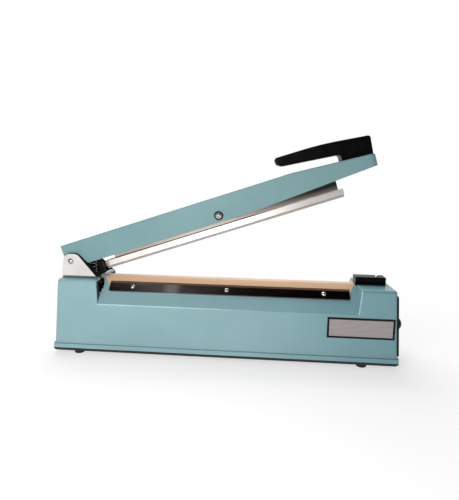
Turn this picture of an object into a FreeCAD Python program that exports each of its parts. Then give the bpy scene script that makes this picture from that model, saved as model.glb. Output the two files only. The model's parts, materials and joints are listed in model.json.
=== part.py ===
"""Hand-operated impulse heat sealer with a 300 mm sealing line.

Frame: millimetres, X along the length towards the timer end, Y to the back, Z up.
The shapes are drawn about the middle of the base's foot, and main() then moves them all
so that the origin lies on the floor under the middle of the whole. The arm stands open.
"""
import FreeCAD, Part
import math
import os

Vector = FreeCAD.Vector
OUT_FOLDER = "parts"

# Fits and gaps
RUN_FIT = 0.08          # radial gap of a part that turns or slides on another
SCREW_FIT = 0.05        # radial gap round a screw's thread
HOLE_FIT = 0.3          # radial gap of a hole that a screw passes through
AIR_GAP = 0.3           # least gap between bodies that move past each other
FAR = 500.0             # length of cutting tools that run past the part

# Base housing
BASE_LENGTH = 444.0     # over the skirt
BASE_WIDTH = 85.0       # over the skirt
BASE_TOP_Z = 99.5       # top of the two end blocks
RIDGE_TOP_Z = 98.0      # top of the ridge between them
SKIRT_HEIGHT = 8.0
SKIRT_STEP = 1.5        # how far the skirt stands out from the walls
SKIRT_EDGE = 0.8        # chamfer on the skirt's upper edge
DRAFT_DEG = 3.5
CORNER_RADIUS = 5.5
TOP_ROUND = 4.0
HOUSING_WALL = 3.0

# Pocket between the end blocks, with the ridge that carries the sealing line.
# An inset is a distance in from the base's left or right end.
POCKET_LEFT_INSET = 61.0
POCKET_RIGHT_INSET = 54.0
POCKET_LEFT_LEAN = 2.0  # how far the left end wall leans out over its height
POCKET_RIGHT_LEAN = 4.5
RIDGE_WIDTH = 13.0
SLOPE_DEG = 44.0
POCKET_EDGE_ROUND = 1.0
BED_SEAT_WIDTH = 14.2   # of the shallow seat in the blocks for the bed's ends
WINDOW_FRONT = 8.0      # wall left in front of the opening in the pocket's left wall
WINDOW_RIM = 3.0        # wall left over the opening
WINDOW_RIDGE = 2.5      # wall left beside the ridge
WINDOW_HEIGHT = 30.0
BLOCK_BORE_DEPTH = 10.0 # of the screw holes in the blocks' tops

# Bottom plate and feet
PLATE_THICKNESS = 1.2
PLATE_INSET = 0.8
FOOT_HEIGHT = 5.8
FOOT_RADIUS = 7.5
FOOT_TIP_RADIUS = 6.2
FOOT_LEFT_INSET = 32.0
FOOT_RIGHT_INSET = 44.0
FOOT_Y = 31.0
FOOT_RECESS = 3.0
FOOT_RECESS_RADIUS = 4.0
POST_RADIUS = 6.0
POST_HEIGHT = 30.0
VENT_COUNT = 7
VENT_LENGTH = 34.0
VENT_WIDTH = 3.0
VENT_PITCH = 8.0
VENT_MIDDLE_X = -60.0

# Screws: thread radius, head radius and head height
M3_RADIUS = 1.5
M3_HEAD_RADIUS = 2.9
M3_HEAD_HEIGHT = 1.9
M4_RADIUS = 2.0
M4_HEAD_RADIUS = 3.5
M4_HEAD_HEIGHT = 2.4
M5_RADIUS = 2.5
M5_HEAD_RADIUS = 4.0
M5_HEAD_HEIGHT = 2.8
FOOT_SCREW_LENGTH = 20.0
SMALL_HEAD_RADIUS = 2.5  # head of the short screws inside and on the panel
RECESS_DEPTH_SHARE = 0.5    # share of a head's height that its drive recess takes
RECESS_REACH_SHARE = 0.6    # share of a head's radius that the recess reaches
RECESS_HALF_SHARE = 0.14    # half width of the recess, as a share of the head's radius

# Sealing line
BED_LEFT_INSET = 57.0
BED_RIGHT_INSET = 53.0
BED_THICKNESS = 1.3
TAPE_WIDTH = 9.0
TAPE_THICKNESS = 0.25
ELEMENT_WIDTH = 3.0
ELEMENT_THICKNESS = 0.2
ELEMENT_DROP_INSET = 60.0
ELEMENT_DROP = 13.0
ELEMENT_SLOT_MARGIN = 1.0
ELEMENT_SLOT_DEPTH = 10.0
CLOTH_THICKNESS = 0.3
CLOTH_OVER_ELEMENT = 0.1

# Clamp strips
STRIP_LEFT_INSET = 71.0
STRIP_RIGHT_INSET = 61.0
STRIP_TOP_Z = 93.0      # height of the housing slope under the upper edge
STRIP_WIDTH = 16.0
STRIP_THICKNESS = 1.2
STRIP_CORNER = 3.0
CLAMP_SCREW_FROM_LEFT = 31.0    # of the outer screws, from the strip's ends
CLAMP_SCREW_FROM_RIGHT = 32.5
CLAMP_SCREW_LENGTH = 8.0
CLAMP_BOSS_RADIUS = 4.0
CLAMP_BOSS_HEIGHT = 5.0

# Hinge bracket
PIN_INSET = 22.0
PIN_Z = 121.2
EAR_THICKNESS = 2.0
EAR_TOP_RADIUS = 9.8
EAR_TOP_FLAT = 4.3      # length of the level part of an ear's top
EAR_FOOT_LEFT_INSET = 9.5
EAR_FOOT_RIGHT_INSET = 57.2
BRACKET_PLATE_RIGHT_INSET = 57.8
EAR_BEND_RADIUS = 3.0
LINER_THICKNESS = 1.5
LINER_RIM = 0.8
LINER_FOOT_RIGHT_INSET = 61.5
PIN_RADIUS = 4.0
BRACKET_SCREW_INSETS = (17.0, 31.0)
HINGE_SCREW_LENGTH = 12.0

# Press arm, in its own frame: along the arm from the pin, and square to it
ARM_OPEN_DEG = 18.5
ARM_WIDTH = 42.0
ARM_WALL = 2.0
ARM_SIDE_GAP = 0.5      # gap between the arm's cheek and the liner
ARM_REAR = 7.9
ARM_REAR_WALL_LOW = 9.0 # lower edge of the rear wall, over the pin
ARM_TOP = 22.4
ARM_BOTTOM = 8.9
ARM_CHEEK_START = 19.7
ARM_TOP_BEND = 304.6
ARM_BOTTOM_BEND = 242.8
ARM_LENGTH = 405.5
ARM_NOSE_TOP = 15.2
ARM_NOSE_BOTTOM = 0.8
ARM_BEND_RADIUS = 120.0
ARM_NOSE_ROUND = 9.0
ARM_EDGE_ROUND = 2.0
BUSH_WALL = 2.0
BUSH_FLANGE_RADIUS = 7.5
BUSH_FLANGE = 1.2

# Pressure bar, in the arm's frame
BAR_PIVOT_ALONG = 203.0
BAR_PIVOT_DROP = 0.6
BAR_LEFT = 36.9
BAR_END_GAP = 9.7       # between the shut bar and the terminal cover
BAR_WIDTH = 18.0
BAR_FLANGE_TOP = 14.6
BAR_FLANGE_BOTTOM = 21.8
BAR_WEB_TOP = 7.0       # height of the web's top above the arm's axis
BAR_WEB_WIDTH = 8.0
BAR_WEB_INSET_LEFT = 13.5
BAR_WEB_INSET_RIGHT = 5.0
BAR_GROOVE = 0.8
STRIP_RUBBER_WIDTH = 10.0
STRIP_RUBBER_TONGUE = 13.0
STRIP_RUBBER_TONGUE_HEIGHT = 2.0
STRIP_RUBBER_LIP = 1.2  # thickness of the bar's lips that hold the tongue
STRIP_RUBBER_BOTTOM = 25.2
PIVOT_WASHER_RADIUS = 5.6
PIVOT_WASHER_THICKNESS = 1.0
NUT_HEIGHT = 4.0
NUT_FLATS = 8.0

# Handle, in the arm's frame
HANDLE_WIDTH = 25.0
HANDLE_REACH = 117.0    # from the arm's nose back to the grip's tip
HANDLE_TIP_TOP = 46.0
HANDLE_MID_BACK = 59.0
HANDLE_MID_TOP = 45.2
HANDLE_END_TOP = 37.6
HANDLE_END_LEAN = 0.8
HANDLE_LEG_BACK = 38.8
GRIP_UNDER_TIP = 34.0
GRIP_UNDER_LEG = 26.0
GRIP_TIP_BOTTOM = 38.0
GRIP_BEND_BACK = 111.0
GRIP_TIP_SLANT = 1.0
HANDLE_NOSE_INSET = 1.0
HANDLE_ROUND = 2.2
HANDLE_CORNER = 3.5
HANDLE_BACK_RADIUS = 400.0
GRIP_BEND_RADIUS = 12.0
RIB_COUNT = 4
RIB_PITCH = 2.2
RIB_DEPTH = 0.7
HANDLE_SCREWS_BACK = (28.0, 10.0)
HANDLE_SCREW_LENGTH = 14.0

# Striker, return spring and micro switch
STRIKER_START = 31.0
STRIKER_WIDTH = 6.0
STRIKER_DEPTH = 6.0
STRIKER_BOTTOM = 28.5
STRIKER_FOOT_WIDTH = 20.0
STRIKER_FOOT_THICKNESS = 3.0
STRIKER_ROUND = 0.8
SLOT_MARGIN = 1.2
SLOT_PAST_WALL = 1.5    # how far the slot runs out over the slope
SPRING_INSET = 42.5
SPRING_RADIUS = 4.1     # to the middle of the wire
SPRING_WIRE = 1.1
SPRING_TURNS = 9
SPRING_TOP_Z = 144.5
CAP_RADIUS = 6.2
CAP_STUD = 5.0
CAP_BLANK_HEIGHT = 20.0
SWITCH_RIGHT_INSET = 60.0
SWITCH_LENGTH = 27.8
SWITCH_HEIGHT = 15.9
SWITCH_DEPTH = 9.0
PLUNGER_RADIUS = 1.8
PLUNGER_STANDOUT = 2.3
PLUNGER_TRAVEL = 1.2
PLUNGER_IN_BODY = 5.0
TAG_WIDTH = 4.0
TAG_THICKNESS = 0.8
TAG_LENGTH = 8.0
TAG_SHARES = (0.12, 0.5, 0.88)  # places of the tags along the switch
SWITCH_HOLE_PITCH = 22.2
SWITCH_SCREW_LENGTH = 12.0
SWITCH_PLATE = 1.2
SWITCH_FLANGE = 9.0
SWITCH_PLATE_SHORT = 7.0    # how far the plate stops before the switch's right end
SWITCH_FLANGE_LAP = 8.0     # how far the flange runs over the switch's left end
BRACKET_NUT_HEIGHT = 3.2
BRACKET_NUT_FLATS = 7.0

# Terminals at the two ends of the heating element
TERMINAL_LENGTH = 14.0
TERMINAL_WIDTH = 8.0
TERMINAL_HEIGHT = 4.0
TERMINAL_MARGIN = 2.0   # from the cover's wall, and from a block's ends
INSULATOR_LENGTH = 19.0
INSULATOR_WIDTH = 12.0
LEFT_INSULATOR_HEIGHT = 9.0
COVER_LEFT_INSET = 52.9
COVER_LENGTH = 38.4
COVER_WIDTH = 17.0
COVER_HEIGHT = 10.3
COVER_WALL = 2.0
COVER_ROUND = 1.2
COVER_SCREW_INSET = 24.0
COVER_POST_RADIUS = 3.6

# Timer panel on the right end
PANEL_Z = 46.5          # height of the knob's centre
PANEL_SIDE = 1.5        # how far its sides stay in from the long walls
PANEL_BELOW = 30.0
PANEL_ABOVE = 46.0
PANEL_THICKNESS = 1.0
PANEL_ROUND = 3.0
KNOB_RADIUS = 8.5
KNOB_HEIGHT = 14.5
KNOB_SKIRT_RADIUS = 10.5
KNOB_SKIRT_HEIGHT = 3.0
KNOB_DOME = 5.0
KNOB_FLUTES = 12
KNOB_FLUTE_RADIUS = 1.2
SHAFT_RADIUS = 3.0
SHAFT_LENGTH = 11.0
BUSHING_RADIUS = 4.5
BUSHING_STANDOUT = 2.5
BUSHING_NUT_FLATS = 11.0
BUSHING_NUT_HEIGHT = 1.8
KNOB_HOLLOW_RADIUS = 7.2
KNOB_HOLLOW_DEPTH = 3.1
KNOB_SKIRT_TAPER = 0.6
KNOB_POINTER_START = 3.8
KNOB_POINTER_WIDTH = 1.0
SHAFT_IN_BODY = 3.5
POT_RADIUS = 8.5
POT_DEPTH = 9.0
LAMP_RADIUS = 3.5
LAMP_PITCH = 20.0
LAMP_ABOVE = 24.0
LAMP_STANDOUT = 2.2
LAMP_BODY_LENGTH = 16.0
PANEL_SCREW_INSET = 5.5
PANEL_SCREW_LENGTH = 5.0

# Transformer, timer board, and what is on the back
CORE_X = 60.0
CORE_LENGTH = 66.0
CORE_HEIGHT = 55.0
CORE_STACK = 30.0
CORE_LIMB = 11.0
WINDING_STANDOUT = 9.0
WINDING_GAP = 0.5
STRAP_THICKNESS = 1.2
STRAP_FOOT = 12.0
PLATE_SCREW_LENGTH = 2.4
BOARD_INSET = 60.0
BOARD_LENGTH = 52.0
BOARD_WIDTH = 44.0
BOARD_THICKNESS = 1.6
STANDOFF_HEIGHT = 6.0
STANDOFF_RADIUS = 3.0
STANDOFF_INSET = 4.0
RELAY = (-12.5, -0.5, 19.0, 15.0, 15.0)    # middle from the board's, and the three sizes
HEAT_SINK = (3.5, 0.0, 3.0, 28.0, 22.0)
CAPACITORS = ((14.0, -8.0, 5.0, 12.0), (14.0, 6.0, 3.2, 9.0))  # middle, radius, height
WINDING_ROUND = 5.0
STRAP_INSET = 3.0       # how far the strap is narrower than the core at each side
GLAND_INSET = 72.0
GLAND_Z = 34.0
GLAND_RADIUS = 8.0
GLAND_BORE = 3.6
GLAND_STANDOUT = 11.0
GLAND_FLANGE = 3.0
GLAND_NECK_RADIUS = 6.0
GLAND_NECK_INSIDE = 2.0
GLAND_SLEEVE_RADII = (6.8, 4.8)
FUSE_INSET = 100.0
FUSE_RADIUS = 6.5
FUSE_NECK_RADIUS = 5.5
FUSE_CAP_RADIUS = 5.2
FUSE_FLANGE = 2.0
FUSE_STANDOUT = 7.0
FUSE_DEPTH = 22.0
FUSE_SLOT_WIDTH = 1.4
FUSE_SLOT_DEPTH = 1.2

# Name plate
NAME_LEFT_INSET = 90.5
NAME_RIGHT_INSET = 8.5
NAME_LOW_Z = 38.8
NAME_HEIGHT = 25.8
NAME_THICKNESS = 0.6

# Worked-out places
LEFT_END = -BASE_LENGTH / 2
RIGHT_END = BASE_LENGTH / 2
POCKET_LEFT_X = LEFT_END + POCKET_LEFT_INSET
POCKET_RIGHT_X = RIGHT_END - POCKET_RIGHT_INSET
FOOT_LEFT_X = LEFT_END + FOOT_LEFT_INSET
FOOT_RIGHT_X = RIGHT_END - FOOT_RIGHT_INSET
BED_LEFT_X = LEFT_END + BED_LEFT_INSET
BED_RIGHT_X = RIGHT_END - BED_RIGHT_INSET
ELEMENT_DROP_X = LEFT_END + ELEMENT_DROP_INSET
STRIP_LEFT_X = LEFT_END + STRIP_LEFT_INSET
STRIP_RIGHT_X = RIGHT_END - STRIP_RIGHT_INSET
CLAMP_SCREW_FIRST = STRIP_LEFT_X + CLAMP_SCREW_FROM_LEFT
CLAMP_SCREW_LAST = STRIP_RIGHT_X - CLAMP_SCREW_FROM_RIGHT
CLAMP_SCREW_X = (CLAMP_SCREW_FIRST, (CLAMP_SCREW_FIRST + CLAMP_SCREW_LAST) / 2,
                 CLAMP_SCREW_LAST)
PIN_X = LEFT_END + PIN_INSET
EAR_FOOT_LEFT_X = LEFT_END + EAR_FOOT_LEFT_INSET
EAR_FOOT_RIGHT_X = LEFT_END + EAR_FOOT_RIGHT_INSET
BRACKET_PLATE_RIGHT_X = LEFT_END + BRACKET_PLATE_RIGHT_INSET
LINER_FOOT_RIGHT_X = LEFT_END + LINER_FOOT_RIGHT_INSET
BRACKET_SCREW_X = [LEFT_END + inset for inset in BRACKET_SCREW_INSETS]
SPRING_X = LEFT_END + SPRING_INSET
SWITCH_RIGHT_X = LEFT_END + SWITCH_RIGHT_INSET
COVER_LEFT_X = RIGHT_END - COVER_LEFT_INSET
COVER_SCREW_X = RIGHT_END - COVER_SCREW_INSET
BOARD_X = RIGHT_END - BOARD_INSET
GLAND_X = RIGHT_END - GLAND_INSET
FUSE_X = RIGHT_END - FUSE_INSET
NAME_LEFT_X = RIGHT_END - NAME_LEFT_INSET
NAME_RIGHT_X = RIGHT_END - NAME_RIGHT_INSET
BAR_RIGHT = COVER_LEFT_X - PIN_X - BAR_END_GAP
HANDLE_TIP = ARM_LENGTH - HANDLE_REACH
HANDLE_MID = ARM_LENGTH - HANDLE_MID_BACK
HANDLE_LEG = ARM_LENGTH - HANDLE_LEG_BACK
GRIP_BEND = ARM_LENGTH - GRIP_BEND_BACK
HANDLE_SCREWS = [ARM_LENGTH - back for back in HANDLE_SCREWS_BACK]
SKIRT_Z = FOOT_HEIGHT + PLATE_THICKNESS
BODY_LENGTH = BASE_LENGTH - 2 * SKIRT_STEP
BODY_WIDTH = BASE_WIDTH - 2 * SKIRT_STEP
DRAFT = math.tan(math.radians(DRAFT_DEG))
SLOPE = math.tan(math.radians(SLOPE_DEG))
SLOPE_COS = math.cos(math.radians(SLOPE_DEG))
RIDGE_HALF = RIDGE_WIDTH / 2
BED_TOP_Z = RIDGE_TOP_Z + BED_THICKNESS
TAPE_TOP_Z = BED_TOP_Z + TAPE_THICKNESS
ELEMENT_TOP_Z = TAPE_TOP_Z + ELEMENT_THICKNESS
CLOTH_UNDER_Z = ELEMENT_TOP_Z + CLOTH_OVER_ELEMENT
CLOTH_TOP_Z = CLOTH_UNDER_Z + CLOTH_THICKNESS
ARM_HALF = ARM_WIDTH / 2
ARM_INNER_HALF = ARM_HALF - ARM_WALL
LINER_INNER = ARM_HALF + ARM_SIDE_GAP
EAR_INNER = LINER_INNER + LINER_THICKNESS
EAR_OUTER = EAR_INNER + EAR_THICKNESS
BRACKET_TOP_Z = BASE_TOP_Z + EAR_THICKNESS
FOOT_PLACES = [(x, y) for x in (FOOT_LEFT_X, FOOT_RIGHT_X) for y in (-FOOT_Y, FOOT_Y)]


def closed_slope_deg():
    """Slope of the arm when the level bar rests just above the cloth."""
    drop = STRIP_RUBBER_BOTTOM - BAR_PIVOT_DROP
    rise = CLOTH_TOP_Z + AIR_GAP + drop - PIN_Z
    reach = math.hypot(BAR_PIVOT_ALONG, BAR_PIVOT_DROP)
    below_axis = math.atan2(BAR_PIVOT_DROP, BAR_PIVOT_ALONG)
    return math.degrees(math.asin(rise / reach) + below_axis)


ARM_CLOSED_DEG = closed_slope_deg()


def box(x0, x1, y0, y1, z0, z1):
    """Block between two corners."""
    return Part.makeBox(x1 - x0, y1 - y0, z1 - z0, Vector(x0, y0, z0))


def rod(x, y, z, axis, radius, length):
    """Cylinder that starts at a point and runs along an axis."""
    return Part.makeCylinder(radius, length, Vector(x, y, z), axis)


def face_of(points):
    """Flat face inside a closed outline of straight edges."""
    return Part.Face(Part.makePolygon(points + [points[0]]))


def prism_side(outline, y0, y1):
    """Outline in X and Z, made solid from y0 to y1."""
    points = [Vector(x, y0, z) for x, z in outline]
    return face_of(points).extrude(Vector(0, y1 - y0, 0))


def side_face(corners, y):
    """Face in X and Z whose corners are (x, z, radius), rounded where a radius is given."""
    edges = []
    last = None
    count = len(corners)
    for number in range(count + 1):
        before = corners[number - 1]
        x, z, radius = corners[number % count]
        after = corners[(number + 1) % count]
        corner = Vector(x, y, z)
        back = (Vector(before[0], y, before[1]) - corner).normalize()
        ahead = (Vector(after[0], y, after[1]) - corner).normalize()
        enter = corner
        leave = corner
        if radius:
            half = back.getAngle(ahead) / 2
            enter = corner + back * (radius / math.tan(half))
            leave = corner + ahead * (radius / math.tan(half))
            inward = (back + ahead).normalize()
            middle = corner + inward * (radius / math.sin(half) - radius)
        if last is not None:
            edges.append(Part.LineSegment(last, enter).toShape())
        if radius and number < count:
            edges.append(Part.Arc(enter, middle, leave).toShape())
        last = leave
    return Part.Face(Part.Wire(edges))


def prism_end(outline, x0, x1):
    """Outline in Y and Z, made solid from x0 to x1."""
    points = [Vector(x0, y, z) for y, z in outline]
    return face_of(points).extrude(Vector(x1 - x0, 0, 0))


def prism_plan(outline, z0, z1):
    """Outline in X and Y, made solid from z0 to z1."""
    points = [Vector(x, y, z0) for x, y in outline]
    return face_of(points).extrude(Vector(0, 0, z1 - z0))


def rounded_wire(length, width, radius, z):
    """Rectangle with round corners about the Z axis, at one height."""
    dx = length / 2 - radius
    dy = width / 2 - radius
    edges = []
    corners = ((dx, dy, 0), (-dx, dy, 90), (-dx, -dy, 180), (dx, -dy, 270))
    for x, y, start in corners:
        circle = Part.Circle(Vector(x, y, z), Vector(0, 0, 1), radius)
        edges.append(circle.toShape(math.radians(start), math.radians(start + 90)))
    loop = []
    for number, edge in enumerate(edges):
        following = edges[(number + 1) % len(edges)]
        loop.append(edge)
        start = edge.valueAt(edge.LastParameter)
        end = following.valueAt(following.FirstParameter)
        loop.append(Part.LineSegment(start, end).toShape())
    return Part.Wire(loop)


def drafted_block(length, width, radius, z0, z1):
    """Block with round corners, whose four walls lean in with the housing's draft."""
    shrink = 2 * DRAFT * (z1 - z0)
    low = rounded_wire(length, width, radius, z0)
    high = rounded_wire(length - shrink, width - shrink, radius, z1)
    return Part.makeLoft([low, high], True, True)


def fused(shapes):
    """One solid from shapes that touch or overlap."""
    result = shapes[0]
    for shape in shapes[1:]:
        result = result.fuse(shape)
    return result.removeSplitter()


def cut_all(shape, tools):
    """Shape less every tool."""
    for tool in tools:
        shape = shape.cut(tool)
    return shape


def edges_where(shape, test):
    """Edges whose middle point passes a test."""
    chosen = []
    for edge in shape.Edges:
        middle = edge.valueAt((edge.FirstParameter + edge.LastParameter) / 2)
        if test(middle, edge):
            chosen.append(edge)
    return chosen


def placed(shape, origin, axis, degrees):
    """Copy of a shape, turned about an axis at the origin and then moved."""
    moved = shape.copy()
    moved.Placement = FreeCAD.Placement(origin, FreeCAD.Rotation(axis, degrees))
    return moved


def in_arm(shape):
    """Shape drawn along the arm, put in its open place."""
    return placed(shape, Vector(PIN_X, 0, PIN_Z), Vector(0, 1, 0), -ARM_OPEN_DEG)


def wall_x(z):
    """Distance of the drafted end walls from the middle at a height."""
    return BODY_LENGTH / 2 - (z - SKIRT_Z) * DRAFT


def wall_y(z):
    """Distance of the drafted long walls from the middle at a height."""
    return BODY_WIDTH / 2 - (z - SKIRT_Z) * DRAFT


def on_right_end(shape):
    """Shape drawn with +X off a face, put on the right end wall at the knob."""
    place = Vector(wall_x(PANEL_Z), 0, PANEL_Z)
    return placed(shape, place, Vector(0, 1, 0), -DRAFT_DEG)


def on_back(shape, x, z):
    """Shape drawn with +Y off a face, put on the back wall."""
    return placed(shape, Vector(x, wall_y(z), z), Vector(1, 0, 0), DRAFT_DEG)


def slope_y(z, lift=0.0):
    """Distance from the middle of the front slope, lifted off the housing, at a height."""
    return RIDGE_HALF + (RIDGE_TOP_Z + lift / SLOPE_COS - z) / SLOPE


def on_slope(shape, x, along):
    """Shape drawn with +Z off a face, put on the front slope below the ridge's edge.

    Args:
        shape: the shape, drawn about the origin.
        x: place along the base.
        along: distance down the slope from the ridge's edge.
    """
    y = -(RIDGE_HALF + along * SLOPE_COS)
    z = RIDGE_TOP_Z - along * math.sin(math.radians(SLOPE_DEG))
    return placed(shape, Vector(x, y, z), Vector(1, 0, 0), SLOPE_DEG)


def both_sides(shape):
    """A shape and its mirror image across the middle of the part."""
    return [shape, shape.mirror(Vector(0, 0, 0), Vector(0, 1, 0))]


def pan_screw(radius, head_radius, head_height, length):
    """Cross-recess screw: shank down from the origin, round head above it."""
    dome = math.hypot(head_radius, head_height)
    ball = Part.makeSphere(dome, Vector(0, 0, head_height - dome))
    head = rod(0, 0, 0, Vector(0, 0, 1), head_radius, head_height).common(ball)
    shank = rod(0, 0, -length, Vector(0, 0, 1), radius, length)
    depth = head_height * RECESS_DEPTH_SHARE
    reach = head_radius * RECESS_REACH_SHARE
    half = head_radius * RECESS_HALF_SHARE
    recess = box(-reach, reach, -half, half, head_height - depth, head_height + depth)
    cross = box(-half, half, -reach, reach, head_height - depth, head_height + depth)
    return cut_all(fused([shank, head]), [recess, cross])


def hex_nut(flats, height, bore):
    """Nut that stands on the origin."""
    corner = flats / 2 / math.cos(math.radians(30))
    outline = []
    for turn in range(6):
        angle = math.radians(60 * turn + 30)
        outline.append((corner * math.cos(angle), corner * math.sin(angle)))
    body = prism_plan(outline, 0, height)
    return body.cut(rod(0, 0, -1, Vector(0, 0, 1), bore, height + 2))


def pocket_tool(inset):
    """Space over the slopes and the bed. A positive inset makes it larger for the hollow."""
    top = RIDGE_TOP_Z - inset
    edge = slope_y(top, -inset)
    far = BASE_WIDTH
    far_z = RIDGE_TOP_Z - (far - RIDGE_HALF) * SLOPE - inset / SLOPE_COS
    above = BASE_TOP_Z + 2 * HOUSING_WALL
    outline = [(-edge, above), (-edge, top), (-far, far_z), (-far, above)]
    front = prism_end(outline, -FAR, FAR)
    low = BASE_TOP_Z - BASE_WIDTH / 2
    left = POCKET_LEFT_X - inset
    right = POCKET_RIGHT_X + inset
    ends = [(left, low), (left - POCKET_LEFT_LEAN, above),
            (right + POCKET_RIGHT_LEAN, above), (right, low)]
    between = prism_side(ends, -FAR, FAR)
    half = BED_SEAT_WIDTH / 2 + inset
    seat = box(BED_LEFT_X - AIR_GAP - inset, insulator_end() + AIR_GAP + inset,
               -half, half, top, above)
    return fused(both_sides(front.common(between)) + [seat])


def on_pocket_end(point):
    """Tells whether a point lies on an end wall of the pocket, off the slopes and the seat."""
    height = BASE_TOP_Z + 2 * HOUSING_WALL - (BASE_TOP_Z - BASE_WIDTH / 2)
    share = (point.z - BASE_TOP_Z + BASE_WIDTH / 2) / height
    left = POCKET_LEFT_X - POCKET_LEFT_LEAN * share
    right = POCKET_RIGHT_X + POCKET_RIGHT_LEAN * share
    on_wall = min(abs(point.x - left), abs(point.x - right)) < 0.01
    over_slope = abs(point.y) > slope_y(point.z) + 0.1
    return on_wall and over_slope and abs(point.y) > BED_SEAT_WIDTH / 2 + 0.1


def housing_outside():
    """Outer form of the casting: skirt, drafted walls, rounded top and pocket."""
    body = drafted_block(BODY_LENGTH, BODY_WIDTH, CORNER_RADIUS, SKIRT_Z, BASE_TOP_Z)
    top = edges_where(body, lambda p, e: abs(p.z - BASE_TOP_Z) < 0.01)
    body = body.makeFillet(TOP_ROUND, top)
    body = body.cut(pocket_tool(0.0))
    ends = edges_where(body, lambda p, e: on_pocket_end(p))
    body = body.makeFillet(POCKET_EDGE_ROUND, ends)
    return fused([body] + skirt_bands())


def skirt_bands():
    """Skirt round the foot of the housing, and the bevel on it."""
    level = SKIRT_Z + SKIRT_HEIGHT - SKIRT_EDGE
    length = BASE_LENGTH - 2 * DRAFT * (level - SKIRT_Z)
    width = BASE_WIDTH - 2 * DRAFT * (level - SKIRT_Z)
    band = drafted_block(BASE_LENGTH, BASE_WIDTH, CORNER_RADIUS, SKIRT_Z, level)
    low = rounded_wire(length, width, CORNER_RADIUS, level)
    high = rounded_wire(length - 2 * SKIRT_EDGE, width - 2 * SKIRT_EDGE,
                        CORNER_RADIUS - SKIRT_EDGE, level + SKIRT_EDGE)
    return [band, Part.makeLoft([low, high], True, True)]


def housing_inside():
    """Hollow of the casting, one wall in from its outside and open below."""
    wall = HOUSING_WALL
    low = drafted_block(BODY_LENGTH - 2 * wall, BODY_WIDTH - 2 * wall,
                        CORNER_RADIUS - wall / 2, SKIRT_Z, BASE_TOP_Z - wall)
    return low.cut(pocket_tool(wall))


def foot_post(x, y):
    """Post in a corner of the housing that takes a foot's screw."""
    post = rod(x, y, SKIRT_Z, Vector(0, 0, 1), POST_RADIUS, POST_HEIGHT)
    side = math.copysign(1, y)
    edge = side * (wall_y(SKIRT_Z + POST_HEIGHT) - HOUSING_WALL / 2)
    web = box(x - POST_RADIUS / 2, x + POST_RADIUS / 2, min(y, edge), max(y, edge),
              SKIRT_Z, SKIRT_Z + POST_HEIGHT)
    return fused([post, web])


def clamp_bosses():
    """Bosses under both slopes for the clamp screws."""
    bosses = []
    deep = HOUSING_WALL + CLAMP_BOSS_HEIGHT
    for x in CLAMP_SCREW_X:
        blank = rod(0, 0, -deep, Vector(0, 0, 1), CLAMP_BOSS_RADIUS, deep - HOUSING_WALL / 2)
        bosses += both_sides(on_slope(blank, x, strip_middle()))
    return bosses


def striker_slot(top):
    """Slot in the left block and the bracket's floor that the striker dips into."""
    rear = -(ARM_INNER_HALF - STRIKER_DEPTH) + SLOT_MARGIN
    front = -ARM_INNER_HALF - SLOT_MARGIN
    left = PIN_X + STRIKER_START - 2 * SLOT_MARGIN
    right = POCKET_LEFT_X + SLOT_PAST_WALL
    return box(left, right, front, rear, BASE_TOP_Z - 5 * HOUSING_WALL, top)


def switch_window():
    """Opening in the pocket's left wall, in front of the ridge, beside the striker."""
    left = POCKET_LEFT_X - POCKET_LEFT_LEAN - 2 * HOUSING_WALL
    top = BASE_TOP_Z - WINDOW_RIM
    front = -wall_y(top) + WINDOW_FRONT
    return box(left, POCKET_LEFT_X, front, -RIDGE_HALF - WINDOW_RIDGE, top - WINDOW_HEIGHT, top)


def element_slot():
    """Slot that the element's left end passes down through."""
    half = ELEMENT_WIDTH / 2 + ELEMENT_SLOT_MARGIN
    return box(ELEMENT_DROP_X - ELEMENT_SLOT_MARGIN, ELEMENT_DROP_X + ELEMENT_SLOT_MARGIN,
               -half, half, BASE_TOP_Z - ELEMENT_SLOT_DEPTH, FAR)


def end_wall_holes():
    """Holes in the right end wall for the timer, the lamps and the panel's screws."""
    inside = -2 * HOUSING_WALL
    axis = Vector(1, 0, 0)
    holes = [rod(inside, 0, 0, axis, BUSHING_RADIUS + HOLE_FIT, FAR)]
    for y in lamp_places():
        holes.append(rod(inside, y, LAMP_ABOVE, axis, LAMP_RADIUS + SCREW_FIT, FAR))
    for y, z in panel_screw_places():
        holes.append(rod(inside, y, z, axis, M3_RADIUS + SCREW_FIT, FAR))
    return [on_right_end(hole) for hole in holes]


def back_wall_holes():
    """Holes in the back wall for the cable gland and the fuse holder."""
    holes = []
    for x, radius in ((GLAND_X, GLAND_NECK_RADIUS), (FUSE_X, FUSE_NECK_RADIUS)):
        blank = rod(0, -2 * HOUSING_WALL, 0, Vector(0, 1, 0), radius + SCREW_FIT, FAR)
        holes.append(on_back(blank, x, GLAND_Z))
    return holes


def base_housing():
    """Cast housing with posts, bosses and every hole in it."""
    shell = housing_outside().cut(housing_inside())
    posts = [foot_post(x, y) for x, y in FOOT_PLACES]
    shell = fused([shell] + posts + clamp_bosses())
    tools = [striker_slot(FAR), switch_window()] + end_wall_holes() + back_wall_holes()
    deep = FOOT_SCREW_LENGTH + SKIRT_Z
    for x, y in FOOT_PLACES:
        tools.append(rod(x, y, 0, Vector(0, 0, 1), M4_RADIUS + SCREW_FIT, deep))
    for x in CLAMP_SCREW_X:
        bore = rod(0, 0, -CLAMP_SCREW_LENGTH, Vector(0, 0, 1), M3_RADIUS + SCREW_FIT, FAR)
        tools += both_sides(on_slope(bore, x, strip_middle()))
    for x in BRACKET_SCREW_X:
        tools.append(block_bore(x, M4_RADIUS + HOLE_FIT))
    tools.append(element_slot())
    tools.append(block_bore(COVER_SCREW_X, M3_RADIUS + SCREW_FIT))
    return cut_all(shell, tools)


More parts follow.
